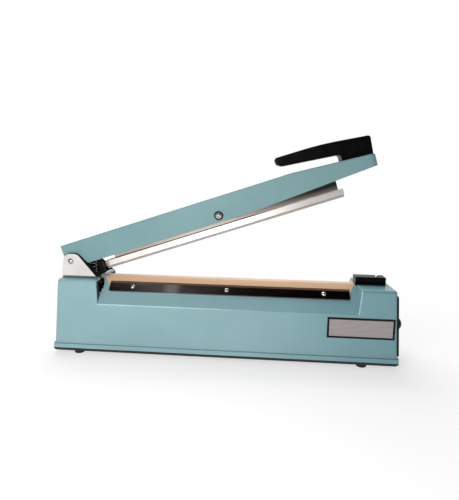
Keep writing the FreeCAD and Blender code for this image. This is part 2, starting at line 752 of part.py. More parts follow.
def block_bore(x, radius):
    """Screw hole down through the top of an end block."""
    return rod(x, 0, BASE_TOP_Z - BLOCK_BORE_DEPTH, Vector(0, 0, 1), radius, FAR)


def bottom_plate():
    """Sheet that closes the base from below, with vents under the transformer."""
    length = BASE_LENGTH - 2 * PLATE_INSET
    width = BASE_WIDTH - 2 * PLATE_INSET
    wire = rounded_wire(length, width, CORNER_RADIUS, FOOT_HEIGHT)
    plate = Part.Face(wire).extrude(Vector(0, 0, PLATE_THICKNESS))
    tools = []
    for x, y in FOOT_PLACES:
        tools.append(rod(x, y, 0, Vector(0, 0, 1), M4_RADIUS + HOLE_FIT, FAR))
    for number in range(VENT_COUNT):
        x = VENT_MIDDLE_X + (number - VENT_COUNT / 2) * VENT_PITCH
        tools.append(box(x, x + VENT_WIDTH, -VENT_LENGTH / 2, VENT_LENGTH / 2, 0, FAR))
    screws = strap_screw_places() + standoff_places()
    for x, y in screws:
        tools.append(rod(x, y, 0, Vector(0, 0, 1), M3_RADIUS + SCREW_FIT, SKIRT_Z + 1))
    return cut_all(plate, tools)


def rubber_feet():
    """Four tapered feet, recessed for their screws."""
    feet = []
    for x, y in FOOT_PLACES:
        foot = Part.makeCone(FOOT_TIP_RADIUS, FOOT_RADIUS, FOOT_HEIGHT, Vector(x, y, 0))
        recess = rod(x, y, -1, Vector(0, 0, 1), FOOT_RECESS_RADIUS, FOOT_RECESS + 1)
        bore = rod(x, y, 0, Vector(0, 0, 1), M4_RADIUS + HOLE_FIT, FOOT_HEIGHT)
        feet.append(cut_all(foot, [recess, bore]))
    return feet


def foot_screws():
    """Screws that hold the feet and the bottom plate to the housing."""
    blank = pan_screw(M4_RADIUS, M4_HEAD_RADIUS, M4_HEAD_HEIGHT, FOOT_SCREW_LENGTH)
    return [placed(blank, Vector(x, y, FOOT_RECESS), Vector(1, 0, 0), 180)
            for x, y in FOOT_PLACES]


def ear_outline_face(radius, foot_left, foot_right, foot_z, y):
    """Face of an ear: a rounded top over the pin that runs down to a flat foot."""
    flat_end = PIN_X + EAR_TOP_FLAT
    left = tangent_point(PIN_X, foot_left, foot_z, radius, -1)
    right = tangent_point(flat_end, foot_right, foot_z, radius, 1)
    start = Vector(left[0], y, left[1])
    end = Vector(right[0], y, right[1])
    crown = Vector(PIN_X, y, PIN_Z + radius)
    crown_end = Vector(flat_end, y, PIN_Z + radius)
    low_left = Vector(foot_left, y, foot_z)
    low_right = Vector(foot_right, y, foot_z)
    sides = [Part.LineSegment(low_left, start).toShape(),
             arc_about(Vector(PIN_X, y, PIN_Z), start, crown),
             Part.LineSegment(crown, crown_end).toShape(),
             arc_about(Vector(flat_end, y, PIN_Z), crown_end, end),
             Part.LineSegment(end, low_right).toShape(),
             Part.LineSegment(low_right, low_left).toShape()]
    return Part.Face(Part.Wire(sides))


def arc_about(centre, start, end):
    """Arc about a centre from one point to another, the short way round."""
    halfway = (start - centre + end - centre).normalize() * (start - centre).Length
    return Part.Arc(start, centre + halfway, end).toShape()


def tangent_point(centre_x, foot_x, foot_z, radius, side):
    """Point where a straight side from the foot meets a round top at the pin's height."""
    dx = centre_x - foot_x
    dz = PIN_Z - foot_z
    reach = math.hypot(dx, dz)
    towards = math.atan2(dz, dx)
    spread = math.asin(radius / reach)
    length = math.sqrt(reach ** 2 - radius ** 2)
    angle = towards - side * spread
    return foot_x + length * math.cos(angle), foot_z + length * math.sin(angle)


def hinge_bracket():
    """Bent steel bracket: a floor on the left block and two ears."""
    ear = ear_outline_face(EAR_TOP_RADIUS, EAR_FOOT_LEFT_X, EAR_FOOT_RIGHT_X,
                           BASE_TOP_Z, -EAR_OUTER)
    ear = ear.extrude(Vector(0, EAR_THICKNESS, 0))
    floor = box(EAR_FOOT_LEFT_X, BRACKET_PLATE_RIGHT_X, -EAR_OUTER, EAR_OUTER,
                BASE_TOP_Z, BRACKET_TOP_Z)
    body = fused([floor] + both_sides(ear))
    bends = edges_where(body, lambda p, e: abs(abs(p.y) - EAR_OUTER) < 0.01
                        and abs(p.z - BASE_TOP_Z) < 0.01)
    body = body.makeFillet(EAR_BEND_RADIUS, bends)
    tools = [rod(PIN_X, -FAR, PIN_Z, Vector(0, 1, 0), M4_RADIUS + SCREW_FIT, 2 * FAR),
             striker_slot(BRACKET_TOP_Z + 1.0)]
    for x in BRACKET_SCREW_X:
        tools.append(rod(x, 0, BASE_TOP_Z - 1, Vector(0, 0, 1), M4_RADIUS + HOLE_FIT, 10))
    return cut_all(body, tools)


def hinge_liners():
    """Dark wear plates between the ears and the arm."""
    face = ear_outline_face(EAR_TOP_RADIUS + LINER_RIM, EAR_FOOT_LEFT_X, LINER_FOOT_RIGHT_X,
                            BRACKET_TOP_Z, -EAR_INNER)
    plate = face.extrude(Vector(0, LINER_THICKNESS, 0))
    plate = plate.cut(rod(PIN_X, -FAR, PIN_Z, Vector(0, 1, 0), PIN_RADIUS + SCREW_FIT, 2 * FAR))
    return both_sides(plate)


def hinge_pin():
    """Tube between the ears that the arm turns on."""
    tube = rod(PIN_X, -EAR_INNER, PIN_Z, Vector(0, 1, 0), PIN_RADIUS, 2 * EAR_INNER)
    return tube.cut(rod(PIN_X, -FAR, PIN_Z, Vector(0, 1, 0), M4_RADIUS + SCREW_FIT, 2 * FAR))


def hinge_screws():
    """Screws through the ears into both ends of the hinge tube."""
    blank = pan_screw(M4_RADIUS, M4_HEAD_RADIUS, M4_HEAD_HEIGHT, HINGE_SCREW_LENGTH)
    front = placed(blank, Vector(PIN_X, -EAR_OUTER, PIN_Z), Vector(1, 0, 0), 90)
    return both_sides(front)


def bracket_screws():
    """Screws that hold the hinge bracket and the switch bracket to the left block."""
    length = EAR_THICKNESS + HOUSING_WALL + SWITCH_PLATE + BRACKET_NUT_HEIGHT + 1.0
    blank = pan_screw(M4_RADIUS, M4_HEAD_RADIUS, M4_HEAD_HEIGHT, length)
    return [placed(blank, Vector(x, 0, BRACKET_TOP_Z), Vector(1, 0, 0), 0)
            for x in BRACKET_SCREW_X]


def bracket_nuts():
    """Nuts under the switch bracket's flange."""
    z = BASE_TOP_Z - HOUSING_WALL - SWITCH_PLATE - BRACKET_NUT_HEIGHT
    nut = hex_nut(BRACKET_NUT_FLATS, BRACKET_NUT_HEIGHT, M4_RADIUS + SCREW_FIT)
    return [placed(nut, Vector(x, 0, z), Vector(0, 0, 1), 0) for x in BRACKET_SCREW_X]


def seal_bed():
    """Heat-proof strip on the ridge that the heating element lies on."""
    low = RIDGE_HALF
    high = slope_y(BED_TOP_Z)
    outline = [(-low, RIDGE_TOP_Z), (-high, BED_TOP_Z), (high, BED_TOP_Z), (low, RIDGE_TOP_Z)]
    return prism_end(outline, BED_LEFT_X, BED_RIGHT_X).cut(element_slot())


def bed_tape():
    """Adhesive tape between the bed and the element."""
    return box(ELEMENT_DROP_X + ELEMENT_SLOT_MARGIN, BED_RIGHT_X,
               -TAPE_WIDTH / 2, TAPE_WIDTH / 2, BED_TOP_Z, TAPE_TOP_Z)


def heating_element():
    """Flat resistance strip: down into the left block, along the ridge, to the cover."""
    half = ELEMENT_WIDTH / 2
    right = right_terminal_x() + TERMINAL_LENGTH
    run = box(ELEMENT_DROP_X, right, -half, half, TAPE_TOP_Z, ELEMENT_TOP_Z)
    drop = box(ELEMENT_DROP_X, ELEMENT_DROP_X + ELEMENT_THICKNESS, -half, half,
               TAPE_TOP_Z - ELEMENT_DROP, ELEMENT_TOP_Z)
    return fused([run, drop])


def right_terminal_x():
    """Left end of the terminal under the cover."""
    return COVER_LEFT_X + COVER_WALL + TERMINAL_MARGIN


def insulator_end():
    """Right end of the insulator under the cover, where its seat ends too."""
    return right_terminal_x() - TERMINAL_MARGIN / 2 + INSULATOR_LENGTH


def cloth_plan():
    """Plan of the cloth: pointed at both ends, cut away at the clamp strips."""
    tip = slope_y(CLOTH_TOP_Z)
    shoulder = RIDGE_HALF + 0.2
    wide = BASE_WIDTH / 2
    foot = slope_y(strip_low_z())
    left = STRIP_LEFT_X + 0.5
    right = STRIP_RIGHT_X - 0.5
    start = BRACKET_PLATE_RIGHT_X + AIR_GAP
    near = [(start, -tip), (POCKET_LEFT_X + 0.4, -shoulder), (left, -foot),
            (left, -wide), (right, -wide), (right, -foot),
            (POCKET_RIGHT_X - 0.4, -shoulder), (BED_RIGHT_X, -tip)]
    far = [(x, -y) for x, y in reversed(near)]
    return near + far


def cloth_section():
    """Cross-section of the cloth over the ridge and down both slopes."""
    low = strip_low_z() + 1.0
    inner = [(slope_y(low), low), (slope_y(CLOTH_UNDER_Z), CLOTH_UNDER_Z)]
    outer = [(slope_y(CLOTH_TOP_Z, CLOTH_THICKNESS), CLOTH_TOP_Z),
             (slope_y(low, CLOTH_THICKNESS), low)]
    right = inner + outer
    left = [(-y, z) for y, z in right]
    return [left[3], left[2], right[2], right[3], right[0], right[1], left[1], left[0]]


def ptfe_cloth():
    """Non-stick cloth over the element, held at both slopes."""
    sheet = prism_end(cloth_section(), BED_LEFT_X, BED_RIGHT_X)
    sheet = sheet.common(prism_plan(cloth_plan(), 0, FAR))
    tools = []
    for x in CLAMP_SCREW_X:
        bore = rod(0, 0, -5, Vector(0, 0, 1), M3_RADIUS + HOLE_FIT, 10)
        tools += both_sides(on_slope(bore, x, strip_middle()))
    return cut_all(sheet, tools)


def strip_top_along():
    """Distance down the slope from the ridge's edge to the strip's upper edge."""
    return (RIDGE_TOP_Z - STRIP_TOP_Z) / math.sin(math.radians(SLOPE_DEG))


def strip_middle():
    """Distance down the slope from the ridge's edge to the strip's middle."""
    return strip_top_along() + STRIP_WIDTH / 2


def strip_low_z():
    """Height of the housing slope under the strip's lower edge."""
    return STRIP_TOP_Z - STRIP_WIDTH * math.sin(math.radians(SLOPE_DEG))


def front_clamp_strip():
    """Bright strip that holds the cloth on the front slope."""
    length = STRIP_RIGHT_X - STRIP_LEFT_X
    middle = (STRIP_RIGHT_X + STRIP_LEFT_X) / 2
    half = STRIP_WIDTH / 2
    blank = box(-length / 2, length / 2, -half, half, 0, STRIP_THICKNESS)
    corners = edges_where(blank, lambda p, e: abs(abs(p.x) - length / 2) < 0.01
                          and abs(p.y + half) < 0.01
                          and abs(p.z - STRIP_THICKNESS / 2) < 0.01)
    blank = blank.makeFillet(STRIP_CORNER, corners)
    tools = [rod(x - middle, 0, -1, Vector(0, 0, 1), M3_RADIUS + HOLE_FIT, 5)
             for x in CLAMP_SCREW_X]
    blank = cut_all(blank, tools)
    blank.translate(Vector(0, 0, CLOTH_THICKNESS))
    return on_slope(blank.removeSplitter(), middle, strip_middle())


def clamp_screws():
    """Screws through both strips and the cloth into the housing's bosses."""
    lift = CLOTH_THICKNESS + STRIP_THICKNESS
    blank = pan_screw(M3_RADIUS, M3_HEAD_RADIUS, M3_HEAD_HEIGHT, CLAMP_SCREW_LENGTH)
    blank = placed(blank, Vector(0, 0, lift), Vector(0, 0, 1), 0)
    screws = []
    for x in CLAMP_SCREW_X:
        carrier = Part.makeCompound([blank])
        screws += both_sides(on_slope(carrier, x, strip_middle()))
    return screws


def terminal_insulators():
    """Insulating blocks that carry the two terminals."""
    half = INSULATOR_WIDTH / 2
    ceiling = RIDGE_TOP_Z - HOUSING_WALL
    left_start = ELEMENT_DROP_X + ELEMENT_THICKNESS + TERMINAL_HEIGHT
    narrow = RIDGE_HALF - HOUSING_WALL / 2
    left = box(left_start, left_start + LEFT_INSULATOR_HEIGHT, -narrow, narrow,
               ceiling - TERMINAL_LENGTH, ceiling)
    end = insulator_end()
    right = box(end - INSULATOR_LENGTH, end, -half, half, RIDGE_TOP_Z, TAPE_TOP_Z)
    return [left, right]


def element_terminals():
    """Brass blocks that clamp the ends of the element."""
    half = TERMINAL_WIDTH / 2
    ceiling = RIDGE_TOP_Z - HOUSING_WALL
    start = ELEMENT_DROP_X + ELEMENT_THICKNESS
    left = box(start, start + TERMINAL_HEIGHT, -half, half,
               ceiling - TERMINAL_LENGTH + TERMINAL_MARGIN, ceiling - TERMINAL_MARGIN)
    x = right_terminal_x()
    right = box(x, x + TERMINAL_LENGTH, -half, half, ELEMENT_TOP_Z,
                ELEMENT_TOP_Z + TERMINAL_HEIGHT)
    return [left, right]


def terminal_cover():
    """Moulded cover over the right terminal, open below and towards the ridge."""
    right = COVER_LEFT_X + COVER_LENGTH
    half = COVER_WIDTH / 2
    top = BASE_TOP_Z + COVER_HEIGHT
    outside = box(COVER_LEFT_X, right, -half, half, BASE_TOP_Z, top)
    rims = edges_where(outside, lambda p, e: p.z > BASE_TOP_Z + 0.01)
    outside = outside.makeFillet(COVER_ROUND, rims)
    wall = COVER_WALL
    inside = box(COVER_LEFT_X + wall, right - wall, -half + wall, half - wall,
                 BASE_TOP_Z - 1, top - wall)
    mouth = box(COVER_LEFT_X - 1, COVER_LEFT_X + 2 * wall, -ELEMENT_WIDTH, ELEMENT_WIDTH,
                BASE_TOP_Z - 1, ELEMENT_TOP_Z + 1.0)
    post = rod(COVER_SCREW_X, 0, BASE_TOP_Z, Vector(0, 0, 1), COVER_POST_RADIUS,
               COVER_HEIGHT - wall / 2)
    body = fused([cut_all(outside, [inside, mouth]), post])
    bore = rod(COVER_SCREW_X, 0, 0, Vector(0, 0, 1), M3_RADIUS + HOLE_FIT, FAR)
    return body.cut(bore)


def terminal_cover_screw():
    """Screw down through the cover into the right block."""
    blank = pan_screw(M3_RADIUS, M3_HEAD_RADIUS, M3_HEAD_HEIGHT, COVER_HEIGHT + HOUSING_WALL)
    place = Vector(COVER_SCREW_X, 0, BASE_TOP_Z + COVER_HEIGHT)
    return placed(blank, place, Vector(0, 0, 1), 0)


def arm_top(along):
    """Height of the arm's top over its axis."""
    if along <= ARM_TOP_BEND:
        return ARM_TOP
    share = (along - ARM_TOP_BEND) / (ARM_LENGTH - ARM_TOP_BEND)
    return ARM_TOP + share * (ARM_NOSE_TOP - ARM_TOP)


def arm_solid(inset, half, below):
    """Side outline of the arm made solid, in from its walls and run past its open side."""
    rear = -ARM_REAR + inset
    nose = ARM_LENGTH - inset
    low = -ARM_BOTTOM - below
    corners = [(rear, ARM_TOP - inset, 0), (ARM_TOP_BEND, ARM_TOP - inset, ARM_BEND_RADIUS),
               (nose, arm_top(nose) - inset, 0), (nose, ARM_NOSE_BOTTOM - below, 0),
               (ARM_BOTTOM_BEND, low, ARM_BEND_RADIUS), (rear, low, 0)]
    return side_face(corners, -half).extrude(Vector(0, 2 * half, 0))


def press_arm():
    """Cast channel arm, open below, with cheeks that hang on the hinge."""
    body = arm_solid(0.0, ARM_HALF, 0.0)
    nose = edges_where(body, lambda p, e: abs(p.x - ARM_LENGTH) < 0.01
                       and abs(abs(p.y) - ARM_HALF) < 0.01)
    body = body.makeFillet(ARM_NOSE_ROUND, nose)
    ridge = edges_where(body, lambda p, e: p.z > arm_top(p.x) - 0.6 and p.x > -ARM_REAR + 0.01
                        and abs(p.y) > 1.0)
    body = body.makeFillet(ARM_EDGE_ROUND, ridge)
    hollow = arm_solid(ARM_WALL, ARM_INNER_HALF, 2 * ARM_BOTTOM)
    corners = edges_where(hollow, lambda p, e: abs(p.x - ARM_LENGTH + ARM_WALL) < 0.01
                          and abs(abs(p.y) - ARM_INNER_HALF) < 0.01)
    hollow = hollow.makeFillet(ARM_NOSE_ROUND - ARM_WALL, corners)
    body = body.cut(hollow)
    lobe = rod(0, -ARM_HALF, 0, Vector(0, 1, 0), ARM_REAR, ARM_WIDTH)
    shelf = box(-FAR, ARM_CHEEK_START, -FAR, FAR, -FAR, 0)
    keep = box(0, ARM_CHEEK_START, -FAR, FAR, -ARM_REAR, 0)
    body = body.cut(shelf.cut(keep).cut(lobe))
    tools = [box(-FAR, ARM_WALL, -ARM_INNER_HALF, ARM_INNER_HALF, -FAR, ARM_REAR_WALL_LOW),
             rod(0, -FAR, 0, Vector(0, 1, 0), PIN_RADIUS + BUSH_WALL + SCREW_FIT, 2 * FAR),
             rod(BAR_PIVOT_ALONG, -FAR, -BAR_PIVOT_DROP, Vector(0, 1, 0),
                 M5_RADIUS + SCREW_FIT, 2 * FAR)]
    for along in HANDLE_SCREWS:
        tools.append(rod(along, 0, 0, Vector(0, 0, 1), M4_RADIUS + HOLE_FIT, FAR))
    return cut_all(body, tools)


def arm_bushes():
    """Flanged bushes in the arm's cheeks, turning on the hinge tube."""
    start = -ARM_HALF
    outer = PIN_RADIUS + BUSH_WALL
    sleeve = rod(0, start, 0, Vector(0, 1, 0), outer, ARM_WALL + BUSH_FLANGE)
    flange = rod(0, start + ARM_WALL, 0, Vector(0, 1, 0), BUSH_FLANGE_RADIUS, BUSH_FLANGE)
    bush = fused([sleeve, flange])
    bush = bush.cut(rod(0, -FAR, 0, Vector(0, 1, 0), PIN_RADIUS + RUN_FIT, 2 * FAR))
    return both_sides(bush)


def handle_profile():
    """Side face of the handle: a leg on the arm's nose and a grip back over the arm."""
    end = ARM_LENGTH + HANDLE_END_LEAN
    foot = ARM_LENGTH - HANDLE_NOSE_INSET
    corners = [(HANDLE_TIP, HANDLE_TIP_TOP, HANDLE_CORNER),
               (HANDLE_MID, HANDLE_MID_TOP, HANDLE_BACK_RADIUS),
               (end, HANDLE_END_TOP, HANDLE_CORNER), (foot, arm_top(foot), 0),
               (HANDLE_LEG, arm_top(HANDLE_LEG), 0), (HANDLE_LEG, GRIP_UNDER_LEG, HANDLE_CORNER),
               (GRIP_BEND, GRIP_UNDER_TIP, GRIP_BEND_RADIUS),
               (HANDLE_TIP + GRIP_TIP_SLANT, GRIP_TIP_BOTTOM, HANDLE_CORNER)]
    return side_face(corners, -HANDLE_WIDTH / 2)


def handle():
    """Moulded handle with ribs at the root of the grip."""
    body = handle_profile().extrude(Vector(0, HANDLE_WIDTH, 0))
    foot = (HANDLE_LEG + ARM_LENGTH - HANDLE_NOSE_INSET) / 2
    rims = edges_where(body, lambda p, e: abs(abs(p.y) - HANDLE_WIDTH / 2) < 0.01
                       and abs(p.x - foot) + abs(p.z - arm_top(foot)) > 1.0)
    body = body.makeFillet(HANDLE_ROUND, rims)
    tools = []
    for number in range(RIB_COUNT):
        along = HANDLE_LEG + RIB_PITCH * (number + 0.6)
        for side in (-1, 1):
            y = side * HANDLE_WIDTH / 2
            tools.append(box(along, along + RIB_PITCH / 2, y - RIB_DEPTH, y + RIB_DEPTH,
                             0, GRIP_UNDER_LEG + 1.0))
    for along in HANDLE_SCREWS:
        deep = arm_top(along) + HANDLE_SCREW_LENGTH - ARM_WALL
        tools.append(rod(along, 0, 0, Vector(0, 0, 1), M4_RADIUS + SCREW_FIT, deep))
    return cut_all(body, tools)


def handle_screws():
    """Screws up through the arm into the handle."""
    blank = pan_screw(M4_RADIUS, M4_HEAD_RADIUS, M4_HEAD_HEIGHT, HANDLE_SCREW_LENGTH)
    lean = math.degrees(math.atan2(ARM_TOP - ARM_NOSE_TOP, ARM_LENGTH - ARM_TOP_BEND))
    screws = []
    for along in HANDLE_SCREWS:
        reach = arm_top(along) - ARM_WALL - math.tan(math.radians(lean)) * M4_HEAD_RADIUS
        place = Vector(along, 0, reach)
        screws.append(placed(blank, place, Vector(1, 0, 0), 180))
    return screws


def arm_striker():
    """Post that hangs from the arm and trips the micro switch."""
    top = ARM_TOP - ARM_WALL
    front = -ARM_INNER_HALF
    rear = front + STRIKER_DEPTH
    end = STRIKER_START + STRIKER_WIDTH
    post = box(STRIKER_START, end, front, rear, -STRIKER_BOTTOM, top)
    tip = edges_where(post, lambda p, e: abs(p.z + STRIKER_BOTTOM) < 0.01)
    post = post.makeFillet(STRIKER_ROUND, tip)
    spread = (STRIKER_FOOT_WIDTH - STRIKER_WIDTH) / 2
    foot = box(STRIKER_START - spread, end + spread, front, rear,
               top - STRIKER_FOOT_THICKNESS, top)
    return fused([post, foot])


def striker_tip_z():
    """Lowest height of the striker's tip with the arm shut."""
    slope = math.radians(ARM_CLOSED_DEG)
    return PIN_Z + STRIKER_START * math.sin(slope) - STRIKER_BOTTOM * math.cos(slope)


def spring_cap():
    """Seat on the arm for the return spring: flat below, leaning above."""
    stud = rod(SPRING_X, 0, SPRING_TOP_Z - CAP_STUD, Vector(0, 0, 1),
               SPRING_RADIUS - SPRING_WIRE, CAP_STUD + 1.0)
    seat = rod(SPRING_X, 0, SPRING_TOP_Z, Vector(0, 0, 1), CAP_RADIUS, CAP_BLANK_HEIGHT)
    roof = in_arm(box(-FAR, FAR, -FAR, FAR, ARM_TOP - ARM_WALL, FAR))
    return fused([stud, seat.cut(roof)])


def return_spring():
    """Coil spring between the hinge bracket and the arm's seat."""
    low = BRACKET_TOP_Z + SPRING_WIRE / 2
    height = SPRING_TOP_Z - AIR_GAP - SPRING_WIRE / 2 - low
    helix = Part.makeHelix(height / SPRING_TURNS, height, SPRING_RADIUS)
    start = Vector(SPRING_RADIUS, 0, 0)
    ring = Part.Wire(Part.makeCircle(SPRING_WIRE / 2, start, Vector(0, 1, 0)))
    pipe = Part.Wire(helix).makePipeShell([ring], True, True)
    pipe.translate(Vector(SPRING_X, 0, low))
    return pipe


def switch_box():
    """Left, right, front, back, bottom and top of the micro switch's body."""
    front = -ARM_INNER_HALF - 0.5
    top = striker_tip_z() - AIR_GAP - PLUNGER_STANDOUT
    return (SWITCH_RIGHT_X - SWITCH_LENGTH, SWITCH_RIGHT_X, front, front + SWITCH_DEPTH,
            top - SWITCH_HEIGHT, top)


def plunger_place():
    """Axis of the plunger, under the middle of the striker's tip."""
    front, back, top = switch_box()[2], switch_box()[3], switch_box()[5]
    return PIN_X + STRIKER_START + STRIKER_WIDTH / 2 + 1.0, (front + back) / 2, top


def switch_hole_places():
    """Axes of the switch's two fixing holes, in X and Z."""
    left, right, bottom = switch_box()[0], switch_box()[1], switch_box()[4]
    margin = (SWITCH_LENGTH - SWITCH_HOLE_PITCH) / 2
    return ((left + margin, bottom + margin), (right - margin, bottom + margin))


def micro_switch():
    """Snap switch with three tags below."""
    x0, x1, y0, y1, z0, z1 = switch_box()
    body = box(x0, x1, y0, y1, z0, z1)
    tags = []
    middle = (y0 + y1) / 2
    for share in TAG_SHARES:
        x = x0 + SWITCH_LENGTH * share
        tags.append(box(x - TAG_WIDTH / 2, x + TAG_WIDTH / 2, middle - TAG_THICKNESS / 2,
                        middle + TAG_THICKNESS / 2, z0 - TAG_LENGTH, z0))
    px, py, pz = plunger_place()
    deep = PLUNGER_TRAVEL + PLUNGER_IN_BODY
    tools = [rod(px, py, pz - deep, Vector(0, 0, 1), PLUNGER_RADIUS + RUN_FIT, deep + 1)]
    for x, z in switch_hole_places():
        tools.append(rod(x, -FAR, z, Vector(0, 1, 0), M3_RADIUS + HOLE_FIT, 2 * FAR))
    return cut_all(fused([body] + tags), tools)


def switch_plunger():
    """Button of the micro switch, pressed at the end of the arm's stroke."""
    px, py, pz = plunger_place()
    return rod(px, py, pz - PLUNGER_IN_BODY, Vector(0, 0, 1), PLUNGER_RADIUS,
               PLUNGER_IN_BODY + PLUNGER_STANDOUT)


def switch_bracket():
    """Bent plate that hangs the micro switch under the left block's top."""
    x0, x1 = switch_box()[0], switch_box()[1]
    back, bottom = switch_box()[3], switch_box()[4]
    ceiling = BASE_TOP_Z - HOUSING_WALL
    left = BRACKET_SCREW_X[0] - SWITCH_FLANGE / 2
    wall = box(x0, x1 - SWITCH_PLATE_SHORT, back, back + SWITCH_PLATE, bottom, ceiling)
    flange = box(left, x0 + SWITCH_FLANGE_LAP, back, SWITCH_FLANGE / 2,
                 ceiling - SWITCH_PLATE, ceiling)
    tools = []
    for x in BRACKET_SCREW_X:
        tools.append(rod(x, 0, ceiling - 5, Vector(0, 0, 1), M4_RADIUS + HOLE_FIT, 10))
    for x, z in switch_hole_places():
        tools.append(rod(x, -FAR, z, Vector(0, 1, 0), M3_RADIUS + SCREW_FIT, 2 * FAR))
    return cut_all(fused([wall, flange]), tools)


def switch_screws():
    """Screws through the switch into its bracket."""
    front = switch_box()[2]
    blank = pan_screw(M3_RADIUS, SMALL_HEAD_RADIUS, M3_HEAD_HEIGHT, SWITCH_SCREW_LENGTH)
    return [placed(blank, Vector(x, front, z), Vector(1, 0, 0), 90)
            for x, z in switch_hole_places()]


def bar_pivot_screw():
    """Screw across the arm that the pressure bar rocks on."""
    head_y = ARM_HALF + PIVOT_WASHER_THICKNESS
    length = 2 * ARM_HALF + 2 * PIVOT_WASHER_THICKNESS + NUT_HEIGHT
    blank = pan_screw(M5_RADIUS, M5_HEAD_RADIUS, M5_HEAD_HEIGHT, length)
    place = Vector(BAR_PIVOT_ALONG, -head_y, -BAR_PIVOT_DROP)
    return placed(blank, place, Vector(1, 0, 0), 90)


def pivot_washers():
    """Dark washers under the pivot screw's head and nut."""
    ring = rod(BAR_PIVOT_ALONG, -ARM_HALF - PIVOT_WASHER_THICKNESS, -BAR_PIVOT_DROP,
               Vector(0, 1, 0), PIVOT_WASHER_RADIUS, PIVOT_WASHER_THICKNESS)
    bore = rod(BAR_PIVOT_ALONG, -FAR, -BAR_PIVOT_DROP, Vector(0, 1, 0),
               M5_RADIUS + SCREW_FIT, 2 * FAR)
    return both_sides(ring.cut(bore))


def bar_pivot_nut():
    """Nut on the pivot screw, behind the arm."""
    nut = hex_nut(NUT_FLATS, NUT_HEIGHT, M5_RADIUS + SCREW_FIT)
    place = Vector(BAR_PIVOT_ALONG, ARM_HALF + PIVOT_WASHER_THICKNESS, -BAR_PIVOT_DROP)
    return placed(nut, place, Vector(1, 0, 0), -90)


def pressure_bar():
    """Extruded bar: a web inside the arm and a grooved flange that holds the rubber."""
    half = BAR_WIDTH / 2
    flange = box(BAR_LEFT, BAR_RIGHT, -half, half, -BAR_FLANGE_BOTTOM, -BAR_FLANGE_TOP)
    web_half = BAR_WEB_WIDTH / 2
    web = box(BAR_LEFT + BAR_WEB_INSET_LEFT, BAR_RIGHT - BAR_WEB_INSET_RIGHT,
              -web_half, web_half, -BAR_FLANGE_TOP, BAR_WEB_TOP)
    tongue = STRIP_RUBBER_TONGUE / 2 + SCREW_FIT
    mouth = STRIP_RUBBER_WIDTH / 2 + SCREW_FIT
    floor = -BAR_FLANGE_BOTTOM + STRIP_RUBBER_LIP
    roof = floor + STRIP_RUBBER_TONGUE_HEIGHT + SCREW_FIT
    tools = [box(-FAR, FAR, -tongue, tongue, floor - SCREW_FIT, roof),
             box(-FAR, FAR, -mouth, mouth, -FAR, floor)]
    for side in (-1, 1):
        y = side * (web_half - BAR_GROOVE)
        tools.append(box(-FAR, FAR, min(y, side * half), max(y, side * half),
                         -BAR_FLANGE_TOP, -BAR_FLANGE_TOP + BAR_GROOVE))
    tools.append(rod(BAR_PIVOT_ALONG, -FAR, -BAR_PIVOT_DROP, Vector(0, 1, 0),
                     M5_RADIUS + RUN_FIT, 2 * FAR))
    return cut_all(fused([flange, web]), tools)


def silicone_strip():
    """Rubber strip with a tongue that slides into the bar's groove."""
    half = STRIP_RUBBER_WIDTH / 2
    tongue = STRIP_RUBBER_TONGUE / 2
    low = -BAR_FLANGE_BOTTOM + STRIP_RUBBER_LIP
    face = box(BAR_LEFT, BAR_RIGHT, -half, half, -STRIP_RUBBER_BOTTOM, low)
    root = box(BAR_LEFT, BAR_RIGHT, -tongue, tongue, low, low + STRIP_RUBBER_TONGUE_HEIGHT)
    return fused([face, root])


def end_panel():
    """Dark plate on the right end wall, behind the timer knob."""
    low = panel_half(-PANEL_BELOW)
    high = panel_half(PANEL_ABOVE)
    outline = [(-low, -PANEL_BELOW), (low, -PANEL_BELOW), (high, PANEL_ABOVE), (-high, PANEL_ABOVE)]
    plate = prism_end(outline, 0, PANEL_THICKNESS)
    corners = edges_where(plate, lambda p, e: abs(p.x - PANEL_THICKNESS / 2) < 0.01)
    plate = plate.makeFillet(PANEL_ROUND, corners)
    tools = [rod(-1, 0, 0, Vector(1, 0, 0), BUSHING_RADIUS + HOLE_FIT, 10)]
    for y in lamp_places():
        tools.append(rod(-1, y, LAMP_ABOVE, Vector(1, 0, 0), LAMP_RADIUS + SCREW_FIT, 10))
    for y, z in panel_screw_places():
        tools.append(rod(-1, y, z, Vector(1, 0, 0), M3_RADIUS + HOLE_FIT, 10))
    return on_right_end(Part.makeCompound([cut_all(plate, tools)]))


def panel_half(above):
    """Half width of the panel at a height over the knob's centre."""
    return wall_y(PANEL_Z + above) - PANEL_SIDE


def lamp_places():
    """Sideways places of the two lamps."""
    return (-LAMP_PITCH / 2, LAMP_PITCH / 2)


def panel_screw_places():
    """Places of the panel's four screws, sideways and up from the knob."""
    low = -PANEL_BELOW + PANEL_SCREW_INSET
    high = PANEL_ABOVE - PANEL_SCREW_INSET
    return [(side * (panel_half(z) - PANEL_SCREW_INSET), z)
            for side in (-1, 1) for z in (low, high)]


def panel_screws():
    """Screws at the panel's corners."""
    blank = pan_screw(M3_RADIUS, SMALL_HEAD_RADIUS, M3_HEAD_HEIGHT, PANEL_SCREW_LENGTH)
    screws = []
    for y, z in panel_screw_places():
        screw = placed(blank, Vector(PANEL_THICKNESS, y, z), Vector(0, 1, 0), 90)
        screws.append(on_right_end(Part.makeCompound([screw])))
    return screws


